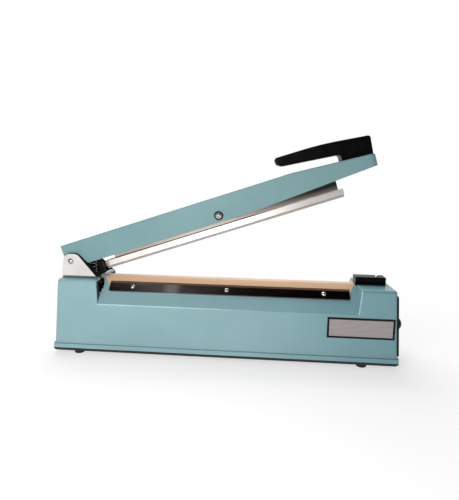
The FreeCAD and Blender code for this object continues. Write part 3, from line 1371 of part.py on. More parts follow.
def indicator_lamps():
    """Two lamps with domed lenses through the panel and the wall."""
    lamps = []
    for y in lamp_places():
        start = PANEL_THICKNESS - LAMP_BODY_LENGTH
        body = rod(start, y, LAMP_ABOVE, Vector(1, 0, 0), LAMP_RADIUS, LAMP_BODY_LENGTH)
        dome = (LAMP_RADIUS ** 2 + LAMP_STANDOUT ** 2) / (2 * LAMP_STANDOUT)
        ball = Part.makeSphere(dome, Vector(PANEL_THICKNESS + LAMP_STANDOUT - dome, y,
                                            LAMP_ABOVE))
        lens = rod(PANEL_THICKNESS, y, LAMP_ABOVE, Vector(1, 0, 0), LAMP_RADIUS,
                   LAMP_STANDOUT).common(ball)
        lamps.append(on_right_end(fused([body, lens])))
    return lamps


def wall_inside():
    """Inner face of the right end wall, square to the wall from its outside."""
    return -HOUSING_WALL / math.cos(math.radians(DRAFT_DEG))


def potentiometer():
    """Timer control behind the wall, with its threaded bushing through the panel."""
    inside = wall_inside()
    body = rod(inside - POT_DEPTH, 0, 0, Vector(1, 0, 0), POT_RADIUS, POT_DEPTH)
    bushing = rod(inside, 0, 0, Vector(1, 0, 0), BUSHING_RADIUS,
                  PANEL_THICKNESS + BUSHING_STANDOUT - inside)
    bore = rod(inside - SHAFT_IN_BODY - AIR_GAP, 0, 0, Vector(1, 0, 0),
               SHAFT_RADIUS + RUN_FIT, FAR)
    nut = placed(hex_nut(BUSHING_NUT_FLATS, BUSHING_NUT_HEIGHT, SHAFT_RADIUS + RUN_FIT),
                 Vector(PANEL_THICKNESS, 0, 0), Vector(0, 1, 0), 90)
    return on_right_end(fused([body, bushing, nut]).cut(bore))


def timer_shaft():
    """Shaft of the timer control, turned by the knob."""
    start = wall_inside() - SHAFT_IN_BODY
    return on_right_end(rod(start, 0, 0, Vector(1, 0, 0), SHAFT_RADIUS,
                            PANEL_THICKNESS + SHAFT_LENGTH - start))


def timer_knob():
    """Fluted knob with a wide foot, a dome and a pointer groove."""
    foot = PANEL_THICKNESS + AIR_GAP
    top = foot + KNOB_HEIGHT
    grip = rod(foot, 0, 0, Vector(1, 0, 0), KNOB_RADIUS, KNOB_HEIGHT)
    dome = (KNOB_RADIUS ** 2 + KNOB_DOME ** 2) / (2 * KNOB_DOME)
    ball = Part.makeSphere(dome, Vector(top - dome, 0, 0))
    grip = grip.common(ball)
    for number in range(KNOB_FLUTES):
        angle = math.radians(360.0 / KNOB_FLUTES * (number + 0.5))
        y = (KNOB_RADIUS + KNOB_FLUTE_RADIUS / 3) * math.cos(angle)
        z = (KNOB_RADIUS + KNOB_FLUTE_RADIUS / 3) * math.sin(angle)
        flute = rod(foot + KNOB_SKIRT_HEIGHT, y, z, Vector(1, 0, 0), KNOB_FLUTE_RADIUS, FAR)
        grip = grip.cut(flute)
    skirt = Part.makeCone(KNOB_SKIRT_RADIUS, KNOB_SKIRT_RADIUS - KNOB_SKIRT_TAPER,
                          KNOB_SKIRT_HEIGHT, Vector(foot, 0, 0), Vector(1, 0, 0))
    body = fused([grip, skirt])
    hollow = rod(0, 0, 0, Vector(1, 0, 0), KNOB_HOLLOW_RADIUS, foot + KNOB_HOLLOW_DEPTH)
    shaft_end = PANEL_THICKNESS + SHAFT_LENGTH
    bore = rod(0, 0, 0, Vector(1, 0, 0), SHAFT_RADIUS + SCREW_FIT, shaft_end + SCREW_FIT)
    half = KNOB_POINTER_WIDTH / 2
    pointer = box(foot + KNOB_SKIRT_HEIGHT, FAR, -half, half, KNOB_POINTER_START, FAR)
    return on_right_end(cut_all(body, [hollow, bore, pointer]))


def transformer_core():
    """Laminated core, standing on the bottom plate."""
    z0 = SKIRT_Z
    half = CORE_STACK / 2
    core = box(CORE_X - CORE_LENGTH / 2, CORE_X + CORE_LENGTH / 2, -half, half,
               z0, z0 + CORE_HEIGHT)
    windows = []
    inner = CORE_LENGTH / 2 - CORE_LIMB
    for side in (-1, 1):
        a = CORE_X + side * CORE_LIMB
        b = CORE_X + side * inner
        windows.append(box(min(a, b), max(a, b), -FAR, FAR, z0 + CORE_LIMB,
                           z0 + CORE_HEIGHT - CORE_LIMB))
    return cut_all(core, windows)


def transformer_winding():
    """Taped winding round the middle limb."""
    z0 = SKIRT_Z + CORE_LIMB + WINDING_GAP
    z1 = SKIRT_Z + CORE_HEIGHT - CORE_LIMB - WINDING_GAP
    reach = CORE_LENGTH / 2 - CORE_LIMB - WINDING_GAP
    deep = CORE_STACK / 2 + WINDING_STANDOUT
    coil = box(CORE_X - reach, CORE_X + reach, -deep, deep, z0, z1)
    rims = edges_where(coil, lambda p, e: abs(p.z - (z0 + z1) / 2) < 0.01)
    coil = coil.makeFillet(WINDING_ROUND, rims)
    limb = box(CORE_X - CORE_LIMB, CORE_X + CORE_LIMB, -CORE_STACK / 2, CORE_STACK / 2, 0, FAR)
    return coil.cut(limb)


def strap_screw_places():
    """Places of the transformer's two screws in the bottom plate."""
    x = CORE_LENGTH / 2 + STRAP_THICKNESS + STRAP_FOOT / 2
    return [(CORE_X - x, 0.0), (CORE_X + x, 0.0)]


def transformer_strap():
    """Steel strap over the core with a foot at each side."""
    half = CORE_LENGTH / 2
    t = STRAP_THICKNESS
    high = SKIRT_Z + CORE_HEIGHT
    out = half + t + STRAP_FOOT
    outline = [(-out, SKIRT_Z), (-half, SKIRT_Z), (-half, high), (half, high),
               (half, SKIRT_Z), (out, SKIRT_Z), (out, SKIRT_Z + t), (half + t, SKIRT_Z + t),
               (half + t, high + t), (-half - t, high + t), (-half - t, SKIRT_Z + t),
               (-out, SKIRT_Z + t)]
    outline = [(CORE_X + x, z) for x, z in outline]
    wide = CORE_STACK / 2 - STRAP_INSET
    strap = prism_side(outline, -wide, wide)
    tools = [rod(x, y, 0, Vector(0, 0, 1), M3_RADIUS + HOLE_FIT, FAR)
             for x, y in strap_screw_places()]
    return cut_all(strap, tools)


def plate_screws():
    """Screws of the strap and the timer board in the bottom plate."""
    short = pan_screw(M3_RADIUS, SMALL_HEAD_RADIUS, M3_HEAD_HEIGHT, PLATE_SCREW_LENGTH)
    long_one = pan_screw(M3_RADIUS, SMALL_HEAD_RADIUS, M3_HEAD_HEIGHT,
                         STANDOFF_HEIGHT + BOARD_THICKNESS + PLATE_THICKNESS / 2)
    screws = []
    for x, y in strap_screw_places():
        place = Vector(x, y, SKIRT_Z + STRAP_THICKNESS)
        screws.append(placed(short, place, Vector(0, 0, 1), 0))
    for x, y in standoff_places():
        place = Vector(x, y, SKIRT_Z + STANDOFF_HEIGHT + BOARD_THICKNESS)
        screws.append(placed(long_one, place, Vector(0, 0, 1), 0))
    return screws


def standoff_places():
    """Corners of the timer board where it is held."""
    dx = BOARD_LENGTH / 2 - STANDOFF_INSET
    dy = BOARD_WIDTH / 2 - STANDOFF_INSET
    return [(BOARD_X + sx * dx, sy * dy) for sx in (-1, 1) for sy in (-1, 1)]


def board_standoffs():
    """Posts between the bottom plate and the timer board."""
    posts = []
    for x, y in standoff_places():
        post = rod(x, y, SKIRT_Z, Vector(0, 0, 1), STANDOFF_RADIUS, STANDOFF_HEIGHT)
        posts.append(post.cut(rod(x, y, 0, Vector(0, 0, 1), M3_RADIUS + SCREW_FIT, FAR)))
    return posts


def timer_board():
    """Circuit board of the timer."""
    low = SKIRT_Z + STANDOFF_HEIGHT
    dx = BOARD_LENGTH / 2
    dy = BOARD_WIDTH / 2
    board = box(BOARD_X - dx, BOARD_X + dx, -dy, dy, low, low + BOARD_THICKNESS)
    tools = [rod(x, y, 0, Vector(0, 0, 1), M3_RADIUS + SCREW_FIT, FAR)
             for x, y in standoff_places()]
    return cut_all(board, tools)


def board_components():
    """Relay, two capacitors and a heat sink on the timer board."""
    z = SKIRT_Z + STANDOFF_HEIGHT + BOARD_THICKNESS
    pieces = []
    for x, y, length, width, height in (RELAY, HEAT_SINK):
        middle = BOARD_X + x
        pieces.append(box(middle - length / 2, middle + length / 2, y - width / 2,
                          y + width / 2, z, z + height))
    for x, y, radius, height in CAPACITORS:
        pieces.append(rod(BOARD_X + x, y, z, Vector(0, 0, 1), radius, height))
    return pieces


def cable_gland():
    """Strain relief in the back wall, with its mouth bare."""
    axis = Vector(0, 1, 0)
    deep = HOUSING_WALL + GLAND_NECK_INSIDE
    neck = rod(0, -deep, 0, axis, GLAND_NECK_RADIUS, deep)
    flange = rod(0, 0, 0, axis, GLAND_RADIUS, GLAND_FLANGE)
    root, mouth = GLAND_SLEEVE_RADII
    sleeve = Part.makeCone(root, mouth, GLAND_STANDOUT - GLAND_FLANGE,
                           Vector(0, GLAND_FLANGE, 0), axis)
    body = fused([neck, flange, sleeve])
    return on_back(body.cut(rod(0, -FAR, 0, axis, GLAND_BORE, 2 * FAR)), GLAND_X, GLAND_Z)


def fuse_holder():
    """Screw-cap fuse holder in the back wall."""
    axis = Vector(0, 1, 0)
    body = rod(0, -FUSE_DEPTH, 0, axis, FUSE_NECK_RADIUS, FUSE_DEPTH)
    flange = rod(0, 0, 0, axis, FUSE_RADIUS, FUSE_FLANGE)
    cap = rod(0, FUSE_FLANGE, 0, axis, FUSE_CAP_RADIUS, FUSE_STANDOUT - FUSE_FLANGE)
    slot = box(-FUSE_SLOT_WIDTH / 2, FUSE_SLOT_WIDTH / 2, FUSE_STANDOUT - FUSE_SLOT_DEPTH, FAR,
               -FUSE_RADIUS, FUSE_RADIUS)
    return on_back(fused([body, flange, cap]).cut(slot), FUSE_X, GLAND_Z)


def name_plate():
    """Bare plate on the front wall."""
    blank = box(NAME_LEFT_X, NAME_RIGHT_X, -NAME_THICKNESS, 0, 0, NAME_HEIGHT)
    place = Vector(0, -wall_y(NAME_LOW_Z), NAME_LOW_Z)
    return placed(blank, place, Vector(1, 0, 0), -DRAFT_DEG)


def all_nodes():
    """Every node of the part, by name."""
    strip = front_clamp_strip()
    return {
        "base_housing": base_housing(),
        "bottom_plate": bottom_plate(),
        "rubber_feet": rubber_feet(),
        "foot_screws": foot_screws(),
        "hinge_bracket": hinge_bracket(),
        "hinge_liners": hinge_liners(),
        "hinge_pin": hinge_pin(),
        "hinge_screws": hinge_screws(),
        "bracket_screws": bracket_screws(),
        "bracket_nuts": bracket_nuts(),
        "seal_bed": seal_bed(),
        "bed_tape": bed_tape(),
        "heating_element": heating_element(),
        "ptfe_cloth": ptfe_cloth(),
        "front_clamp_strip": strip,
        "rear_clamp_strip": both_sides(strip)[1],
        "clamp_screws": clamp_screws(),
        "terminal_insulators": terminal_insulators(),
        "element_terminals": element_terminals(),
        "terminal_cover": terminal_cover(),
        "terminal_cover_screw": terminal_cover_screw(),
        "transformer_core": transformer_core(),
        "transformer_winding": transformer_winding(),
        "transformer_strap": transformer_strap(),
        "plate_screws": plate_screws(),
        "timer_board": timer_board(),
        "board_components": board_components(),
        "board_standoffs": board_standoffs(),
        "potentiometer": potentiometer(),
        "end_panel": end_panel(),
        "panel_screws": panel_screws(),
        "indicator_lamps": indicator_lamps(),
        "micro_switch": micro_switch(),
        "switch_plunger": switch_plunger(),
        "switch_bracket": switch_bracket(),
        "switch_screws": switch_screws(),
        "cable_gland": cable_gland(),
        "fuse_holder": fuse_holder(),
        "name_plate": name_plate(),
        "return_spring": return_spring(),
        "press_arm": in_arm(press_arm()),
        "arm_bushes": [in_arm(Part.makeCompound([bush])) for bush in arm_bushes()],
        "handle": in_arm(handle()),
        "handle_screws": [in_arm(Part.makeCompound([s])) for s in handle_screws()],
        "arm_striker": in_arm(arm_striker()),
        "spring_cap": spring_cap(),
        "bar_pivot_screw": in_arm(Part.makeCompound([bar_pivot_screw()])),
        "pivot_washers": [in_arm(Part.makeCompound([w])) for w in pivot_washers()],
        "bar_pivot_nut": in_arm(Part.makeCompound([bar_pivot_nut()])),
        "pressure_bar": in_arm(pressure_bar()),
        "silicone_strip": in_arm(silicone_strip()),
        "timer_knob": timer_knob(),
        "timer_shaft": timer_shaft(),
    }


def solids_of(item):
    """Flat list of the solids in a shape or a list of shapes."""
    shapes = item if isinstance(item, list) else [item]
    solids = []
    for shape in shapes:
        solids += shape.Solids
    return solids


def floor_middle(shapes):
    """Point on the floor under the middle of all the shapes."""
    whole = FreeCAD.BoundBox()
    for shape in shapes:
        whole.add(shape.BoundBox)
    return Vector(whole.Center.x, whole.Center.y, 0)


def main():
    """Write one STEP file per node."""
    os.makedirs(OUT_FOLDER, exist_ok=True)
    shapes = {}
    for name, item in all_nodes().items():
        solids = solids_of(item)
        shapes[name] = solids[0] if len(solids) == 1 else Part.makeCompound(solids)
    origin = floor_middle(shapes.values())
    for name, shape in shapes.items():
        shape.translate(-origin)
        shape.exportStep(os.path.join(OUT_FOLDER, name + ".step"))
        size = shape.BoundBox
        print(f"{name:22s} solids {len(shape.Solids)} valid {shape.isValid()} "
              f"volume {shape.Volume:10.1f} "
              f"x {size.XMin:7.1f}..{size.XMax:7.1f} y {size.YMin:6.1f}..{size.YMax:6.1f} "
              f"z {size.ZMin:6.1f}..{size.ZMax:6.1f}")
    print(f"origin {origin.x:.5f} {origin.y:.5f}, "
          f"arm closes by {ARM_OPEN_DEG - ARM_CLOSED_DEG:.4f} deg, "
          f"level bar turns {ARM_CLOSED_DEG:.4f} deg against it")


main()
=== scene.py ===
"""Looks of a hand-operated heat sealer: finishes, printed marks, the cloth and the studio."""
import json
import logging
import math
from dataclasses import dataclass
from enum import Enum
from typing import Callable, ClassVar, Iterable

import bmesh
import bpy
from mathutils import Matrix, Vector


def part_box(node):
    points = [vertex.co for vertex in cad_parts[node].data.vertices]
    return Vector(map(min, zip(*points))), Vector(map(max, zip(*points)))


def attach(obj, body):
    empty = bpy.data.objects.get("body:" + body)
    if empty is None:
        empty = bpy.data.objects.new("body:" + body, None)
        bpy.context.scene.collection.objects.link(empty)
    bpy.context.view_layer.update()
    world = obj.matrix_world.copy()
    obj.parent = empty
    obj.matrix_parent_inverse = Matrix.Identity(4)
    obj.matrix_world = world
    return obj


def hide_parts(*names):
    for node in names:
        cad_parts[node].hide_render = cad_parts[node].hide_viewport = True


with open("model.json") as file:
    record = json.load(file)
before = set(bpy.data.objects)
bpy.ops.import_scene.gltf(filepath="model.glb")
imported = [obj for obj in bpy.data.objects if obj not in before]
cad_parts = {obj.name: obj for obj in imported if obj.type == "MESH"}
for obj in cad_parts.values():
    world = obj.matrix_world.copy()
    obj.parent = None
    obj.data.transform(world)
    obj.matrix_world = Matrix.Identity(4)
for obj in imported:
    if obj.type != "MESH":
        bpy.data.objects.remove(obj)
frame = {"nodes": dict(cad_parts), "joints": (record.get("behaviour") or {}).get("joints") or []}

Tree = bpy.types.NodeTree
Socket = bpy.types.NodeSocket
Span = tuple[float, float]
Triple = tuple[float, float, float]
Stops = tuple[tuple[float, str], ...]
Row = tuple[str | float, ...]

LOG = logging.getLogger("heat_sealer")
MM = 0.001
WELD = 1e-6
EVEN: Triple = (1.0, 1.0, 1.0)
MAIN_SHADER = "Principled BSDF"
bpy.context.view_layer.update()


class Body(Enum):
    """Moving groups of the machine that get pieces of their own here."""

    BASE = "base"
    TIMER = "timer"


class Grain(Enum):
    """Direction that a metal surface is brushed or rolled along."""

    LENGTH = (0.04, 1.0, 1.0)
    HEIGHT = (1.0, 1.0, 0.04)


class Detail(Enum):
    """Number of finer layers in a cloudy pattern."""

    PLAIN = 1.0
    SOFT = 2.0
    LAYERED = 3.0
    RICH = 4.0


def linear(code: str) -> tuple[float, float, float, float]:
    """Turns an sRGB hex colour into linear red, green, blue and alpha.

    Args:
        code: six hex digits.

    Returns:
        The four linear channels.
    """
    channels = [int(code[place:place + 2], 16) / 255 for place in (0, 2, 4)]
    curve = [c / 12.92 if c <= 0.04045 else ((c + 0.055) / 1.055) ** 2.4 for c in channels]
    return (curve[0], curve[1], curve[2], 1.0)


def add_node(tree: Tree, kind: str, inputs: dict | None = None,
             **settings: str | int) -> bpy.types.Node:
    """Adds a node with its settings and its inputs.

    Args:
        tree: the node tree that gets the node.
        kind: Blender's name of the node type.
        inputs: values, or the sockets that feed them, by the input's name or number.
        **settings: properties of the node.

    Returns:
        The new node.
    """
    node = tree.nodes.new(kind)
    for key, value in settings.items():
        setattr(node, key, value)
    for key, value in (inputs or {}).items():
        if isinstance(value, Socket):
            tree.links.new(value, node.inputs[key])
        else:
            node.inputs[key].default_value = value
    return node


def set_ramp(node: bpy.types.Node, stops: Stops) -> Socket:
    """Gives a colour ramp its stops.

    Args:
        node: the ramp node.
        stops: positions from 0 to 1 with sRGB hex colours, in rising order.

    Returns:
        The socket that gives its colour.
    """
    ramp = node.color_ramp
    while len(ramp.elements) < len(stops):
        ramp.elements.new(1.0)
    for element, (position, code) in zip(ramp.elements, stops):
        element.position = position
        element.color = linear(code)
    return node.outputs["Color"]


def coordinates(tree: Tree, uv_map: str = "") -> dict[str, Socket]:
    """Reads where a point of the surface lies.

    Args:
        tree: the material's node tree.
        uv_map: the UV map to read, in place of the object's own coordinates.

    Returns:
        Sockets in metres, under the names X, Y and Z.
    """
    if uv_map:
        source = add_node(tree, "ShaderNodeUVMap", uv_map=uv_map).outputs["UV"]
    else:
        source = add_node(tree, "ShaderNodeTexCoord").outputs["Object"]
    split = add_node(tree, "ShaderNodeSeparateXYZ", {0: source})
    return {name: split.outputs[name] for name in "XYZ"}


def work_out(tree: Tree, known: dict[str, Socket], rows: Iterable[Row]) -> None:
    """Works out a column of sums, where each row can use the rows above it.

    Args:
        tree: the material's node tree.
        known: sockets by name, which gets the result of each row.
        rows: a name, an operation, and its terms from left to right: names or numbers.
    """
    for name, operation, first, *others in rows:
        total = known.get(first, first)
        for term in others or (0.0,):
            total = add_node(tree, "ShaderNodeMath", {0: total, 1: known.get(term, term)},
                             operation=operation).outputs["Value"]
        known[name] = total


@dataclass(frozen=True)
class Finish:
    """Surface of one real material.

    Each kind of finish adds its own pattern to the one shader in surface().
    """

    name: str
    colour: str
    roughness: float
    metallic: float = 0.0
    coat: float = 0.0
    coat_roughness: float = 0.1
    specular: float = 0.5

    def material(self) -> bpy.types.Material:
        """Makes the material once and returns it afterwards."""
        known = bpy.data.materials.get(self.name)
        if known is not None:
            return known
        made = bpy.data.materials.new(self.name)
        made.use_nodes = True
        inputs = made.node_tree.nodes[MAIN_SHADER].inputs
        for name, value in (("Base Color", linear(self.colour)), ("Roughness", self.roughness),
                            ("Metallic", self.metallic), ("Coat Weight", self.coat),
                            ("Coat Roughness", self.coat_roughness),
                            ("Specular IOR Level", self.specular)):
            inputs[name].default_value = value
        self.surface(made.node_tree)
        made.diffuse_color = linear(self.colour)
        return made

    def surface(self, tree: Tree) -> None:
        """Adds the pattern of this finish to its material's node tree."""

    def pattern(self, tree: Tree, size_mm: float, detail: Detail = Detail.SOFT,
                stretch: Triple = EVEN) -> Socket:
        """Cloudy pattern of a real size.

        Args:
            tree: the material's node tree.
            size_mm: size of its patches.
            detail: its finer layers.
            stretch: factor on the coordinates along X, Y and Z; a small one draws it out.

        Returns:
            The socket that gives values from 0 to 1.
        """
        source = add_node(tree, "ShaderNodeTexCoord")
        drawn = add_node(tree, "ShaderNodeMapping",
                         {"Vector": source.outputs["Object"], "Scale": stretch})
        clouds = add_node(tree, "ShaderNodeTexNoise",
                          {"Vector": drawn.outputs["Vector"], "Scale": 1.0 / (size_mm * MM),
                           "Detail": detail.value, "Roughness": 0.55})
        return clouds.outputs["Fac"]

    def vary_colour(self, tree: Tree, factor: Socket, stops: Stops) -> None:
        """Colours the surface by a pattern.

        Args:
            tree: the material's node tree.
            factor: the pattern, from 0 to 1.
            stops: positions with sRGB hex colours.
        """
        colour = set_ramp(add_node(tree, "ShaderNodeValToRGB", {"Fac": factor}), stops)
        tree.links.new(colour, tree.nodes[MAIN_SHADER].inputs["Base Color"])

    def lay_over(self, tree: Tree, mask: Socket, tone: Socket | str) -> None:
        """Lays a colour over what the surface has so far.

        Args:
            tree: the material's node tree.
            mask: 1 where the colour covers the surface.
            tone: sRGB hex colour, or the socket that gives it.
        """
        base = tree.nodes[MAIN_SHADER].inputs["Base Color"]
        below = base.links[0].from_socket if base.is_linked else linear(self.colour)
        above = linear(tone) if isinstance(tone, str) else tone
        mixed = add_node(tree, "ShaderNodeMix", {0: mask, 6: below, 7: above}, data_type="RGBA")
        tree.links.new(mixed.outputs[2], base)

    def vary_roughness(self, tree: Tree, factor: Socket, spread: float) -> None:
        """Makes the surface duller and glossier by a pattern.

        Args:
            tree: the material's node tree.
            factor: the pattern, from 0 to 1.
            spread: how far the roughness goes down and up.
        """
        rough = add_node(tree, "ShaderNodeMapRange",
                         {"Value": factor, "From Min": 0.3, "From Max": 0.7,
                          "To Min": self.roughness - spread, "To Max": self.roughness + spread})
        tree.links.new(rough.outputs["Result"], tree.nodes[MAIN_SHADER].inputs["Roughness"])

    def emboss(self, tree: Tree, height: Socket, depth_mm: float, strength: float = 1.0) -> None:
        """Raises the surface by a pattern.

        Args:
            tree: the material's node tree.
            height: the pattern, from 0 to 1.
            depth_mm: real height of the relief.
            strength: share of the relief that shows.
        """
        relief = add_node(tree, "ShaderNodeBump", {"Height": height, "Strength": strength,
                                                   "Distance": depth_mm * MM})
        tree.links.new(relief.outputs["Normal"], tree.nodes[MAIN_SHADER].inputs["Normal"])


@dataclass(frozen=True)
class SprayedPaint(Finish):
    """Stoved enamel sprayed on a casting: smooth gloss, faint orange peel, even colour."""

    shade: str = "000000"
    tint: str = "FFFFFF"
    tone_span: Span = (0.34, 0.66)
    cloud_mm: float = 90.0
    gloss_mm: float = 11.0
    peel_mm: float = 2.6
    peel_depth_mm: float = 0.010
    spread: float = 0.05

    def surface(self, tree: Tree) -> None:
        """Slow drifts of colour, a peel of a few hundredths, and patches of duller gloss.

        Args:
            tree: the material's node tree.
        """
        clouds = self.pattern(tree, self.cloud_mm, Detail.LAYERED)
        self.vary_colour(tree, clouds, tuple(zip(self.tone_span, (self.shade, self.tint))))
        self.vary_roughness(tree, self.pattern(tree, self.gloss_mm, Detail.RICH), self.spread)
        self.emboss(tree, self.pattern(tree, self.peel_mm, Detail.PLAIN), self.peel_depth_mm)


@dataclass(frozen=True)
class CasePaint(SprayedPaint):
    """The enamel on the base casting, which is sprayed outside only.

    Its sizes are those of the casting: draft and slope are how far the walls and the sealing
    ridge's flanks come in or drop by length, and pocket_lean is the same for the pocket's ends.
    """

    half_length_mm: float = 220.5
    half_width_mm: float = 41.0
    foot_mm: float = 7.0
    top_mm: float = 99.5
    draft: float = 0.06116
    ridge_half_mm: float = 6.5
    ridge_mm: float = 98.0
    slope: float = 0.9657
    pocket_mm: Span = (-161.0, 168.0)
    pocket_low_mm: float = 57.0
    pocket_lean: Span = (0.0412, 0.0928)
    shift_mm: Span = (-5.93637, -4.06056)
    depth_mm: float = 1.6
    slope_depth: float = 1.4
    # Near-black tone of the raw metal inside the casting, also laid on the pocket's left wall
    # round its opening as painted shade.
    raw_metal_and_shade: str = "211F1E"
    wall_shade_mm: float = 0.25
    wall_shade_edge_mm: float = 2.2
    # Level lines as (low, high, colour) in mm: a painted shadow at the skirt's foot, which also
    # stands in for the bottom plate's dark edge; painted shade in the step over the skirt; and a
    # painted highlight along the crease under the sealing line.
    bands: tuple[tuple[float, float, str], ...] = (
        (0.0, 9.4, "080B0C"), (14.75, 15.35, "66888E"), (67.75, 68.85, "BDD6DA"))
    # Span in mm along the case where the crease's painted highlight fades out.
    crease_highlight_fade_mm: Span = (-80.0, 70.0)
    # Painted shade: the coat darkens towards the timer end, where the light falls off.
    deep: str = "6E98A2"
    falloff_shade_mm: Span = (0.0, 230.0)
    # Painted highlight on the upright edge of the timer end's block.
    wear_and_highlight: str = "9DC4CB"
    edge_highlight_mm: Span = (-0.9, 1.1)

    def surface(self, tree: Tree) -> None:
        """Paint as on every casting, painted shade and highlights, and the raw metal behind its
        walls.

        Painted shade darkens the coat towards the timer end, where the light falls off, and a
        painted shadow, which also stands in for the bottom plate's dark edge, darkens the skirt's
        foot. Painted shade lies in the step over the skirt, and painted highlights run along the
        crease under the sealing line and up the edge of the timer end's block. The pocket's left
        wall gets painted shade round its opening.

        Args:
            tree: the material's node tree.
        """
        super().surface(tree)
        known = coordinates(tree)
        work_out(tree, known, self.walls() + self.raw_metal_and_wall_shade() + self.painted_edge_highlight())
        known["deepening"] = add_node(
            tree, "ShaderNodeMapRange",
            {"Value": known["X"], "From Min": self.falloff_shade_mm[0] * MM,
             "From Max": self.falloff_shade_mm[1] * MM}, interpolation_type="SMOOTHSTEP").outputs["Result"]
        # Fade of the crease's painted highlight towards the timer end.
        known["crease_highlight_fade"] = add_node(
            tree, "ShaderNodeMapRange",
            {"Value": known["x"], "From Min": self.crease_highlight_fade_mm[0] * MM,
             "From Max": self.crease_highlight_fade_mm[1] * MM, "To Min": 1.0, "To Max": 0.0},
            interpolation_type="SMOOTHSTEP").outputs["Result"]
        # Painted shade towards the timer end.
        self.lay_over(tree, known["deepening"], self.deep)
        # Painted shadow at the skirt's foot, painted shade over the skirt, painted highlight on
        # the crease.
        for low, high, tone in self.bands:
            work_out(tree, known, self.band(low, high))
            self.lay_over(tree, known["band"], tone)
        # Painted highlight on the block's upright edge.
        self.lay_over(tree, known["edge_highlight"], self.wear_and_highlight)
        # Raw metal inside, and painted shade on the pocket's left wall.
        self.lay_over(tree, known["raw_metal_and_shade"], self.raw_metal_and_shade)
        rough = tree.nodes[MAIN_SHADER].inputs["Roughness"]
        known["gloss"] = rough.links[0].from_socket
        work_out(tree, known, (("dull", "MAXIMUM", "gloss", "raw_metal_and_shade"),))
        tree.links.new(known["dull"], rough)

    def walls(self) -> tuple[Row, ...]:
        """Sums for the place of a point against the casting's walls and the pocket's ends.

        Returns:
            The rows, which use the object's coordinates.
        """
        return (
            ("x", "SUBTRACT", "X", self.shift_mm[0] * MM),
            ("y", "SUBTRACT", "Y", self.shift_mm[1] * MM),
            ("far", "ABSOLUTE", "x"),
            ("wide", "ABSOLUTE", "y"),
            ("over foot", "SUBTRACT", "Z", self.foot_mm * MM),
            ("lean", "MULTIPLY", "over foot", -self.draft),
            ("end wall", "ADD", "lean", (self.half_length_mm - self.depth_mm) * MM),
            ("long wall", "ADD", "lean", (self.half_width_mm - self.depth_mm) * MM),
            ("over pocket", "SUBTRACT", "Z", self.pocket_low_mm * MM),
            ("left lean", "MULTIPLY", "over pocket", self.pocket_lean[0]),
            ("right lean", "MULTIPLY", "over pocket", self.pocket_lean[1]),
            ("left", "ADD", "x", "left lean"),
            ("right", "SUBTRACT", "x", "right lean"),
        )

    def raw_metal_and_wall_shade(self) -> tuple[Row, ...]:
        """Sums for what lies more than half a wall in, and for painted shade on the opening's
        wall.

        Returns:
            The rows, which use the object's coordinates and walls().
        """
        block = (self.top_mm - self.depth_mm) * MM
        ridge_mm = self.ridge_mm - self.depth_mm
        flank_mm = self.ridge_mm - self.slope_depth * self.depth_mm
        return (
            ("off ridge", "SUBTRACT", "wide", self.ridge_half_mm * MM),
            ("fall", "MULTIPLY", "off ridge", -self.slope),
            ("flank", "ADD", "fall", flank_mm * MM),
            ("ridge", "MINIMUM", "flank", ridge_mm * MM),
            ("in left", "GREATER_THAN", "left", (self.pocket_mm[0] - self.depth_mm) * MM),
            ("in right", "LESS_THAN", "right", (self.pocket_mm[1] + self.depth_mm) * MM),
            ("sunk", "SUBTRACT", "ridge", block),
            ("drop", "MULTIPLY", "sunk", "in left", "in right"),
            ("roof", "ADD", "drop", block),
            ("in ends", "LESS_THAN", "far", "end wall"),
            ("in sides", "LESS_THAN", "wide", "long wall"),
            ("in roof", "LESS_THAN", "Z", "roof"),
            ("hollow", "MULTIPLY", "in ends", "in sides", "in roof"),
            # The pocket's left wall gets painted shade round its opening, but not its enamelled
            # edges.
            ("on wall", "LESS_THAN", "left", (self.pocket_mm[0] + self.wall_shade_mm) * MM),
            ("edge", "ADD", "lean", (self.half_width_mm - self.wall_shade_edge_mm) * MM),
            ("off edge", "LESS_THAN", "wide", "edge"),
            ("off top", "LESS_THAN", "Z", (self.top_mm - self.wall_shade_edge_mm) * MM),
            ("bare", "MULTIPLY", "on wall", "in left", "off edge", "off top"),
            ("raw_metal_and_shade", "MAXIMUM", "hollow", "bare"),
        )

    def painted_edge_highlight(self) -> tuple[Row, ...]:
        """Sums for the painted highlight on the upright edge of the timer end's block.

        Returns:
            The rows, which use the object's coordinates and walls().
        """
        return (
            ("past start", "GREATER_THAN", "right", (self.pocket_mm[1] + self.edge_highlight_mm[0]) * MM),
            ("short of end", "LESS_THAN", "right", (self.pocket_mm[1] + self.edge_highlight_mm[1]) * MM),
            ("outer", "GREATER_THAN", "wide", "long wall"),
            ("high", "GREATER_THAN", "Z", self.bands[-1][1] * MM),
            ("edge_highlight", "MULTIPLY", "past start", "short of end", "outer", "high"),
        )

    def band(self, low: float, high: float) -> tuple[Row, ...]:
        """Sums for one level line of painted shade or highlight round the casting; over the skirt
        it fades along the pocket.

        Args:
            low: where the line begins, in millimetres above the floor.
            high: where it ends.

        Returns:
            The rows; the last one is 1 on the line.
        """
        over = ("over", "GREATER_THAN", "Z", low * MM)
        under = ("under", "LESS_THAN", "Z", high * MM)
        if low < self.pocket_low_mm:
            return over, under, ("band", "MULTIPLY", "over", "under")
        right_of_block = ("beside", "GREATER_THAN", "x", self.pocket_mm[0] * MM)
        return over, under, right_of_block, (
            "band", "MULTIPLY", "over", "under", "beside", "crease_highlight_fade")


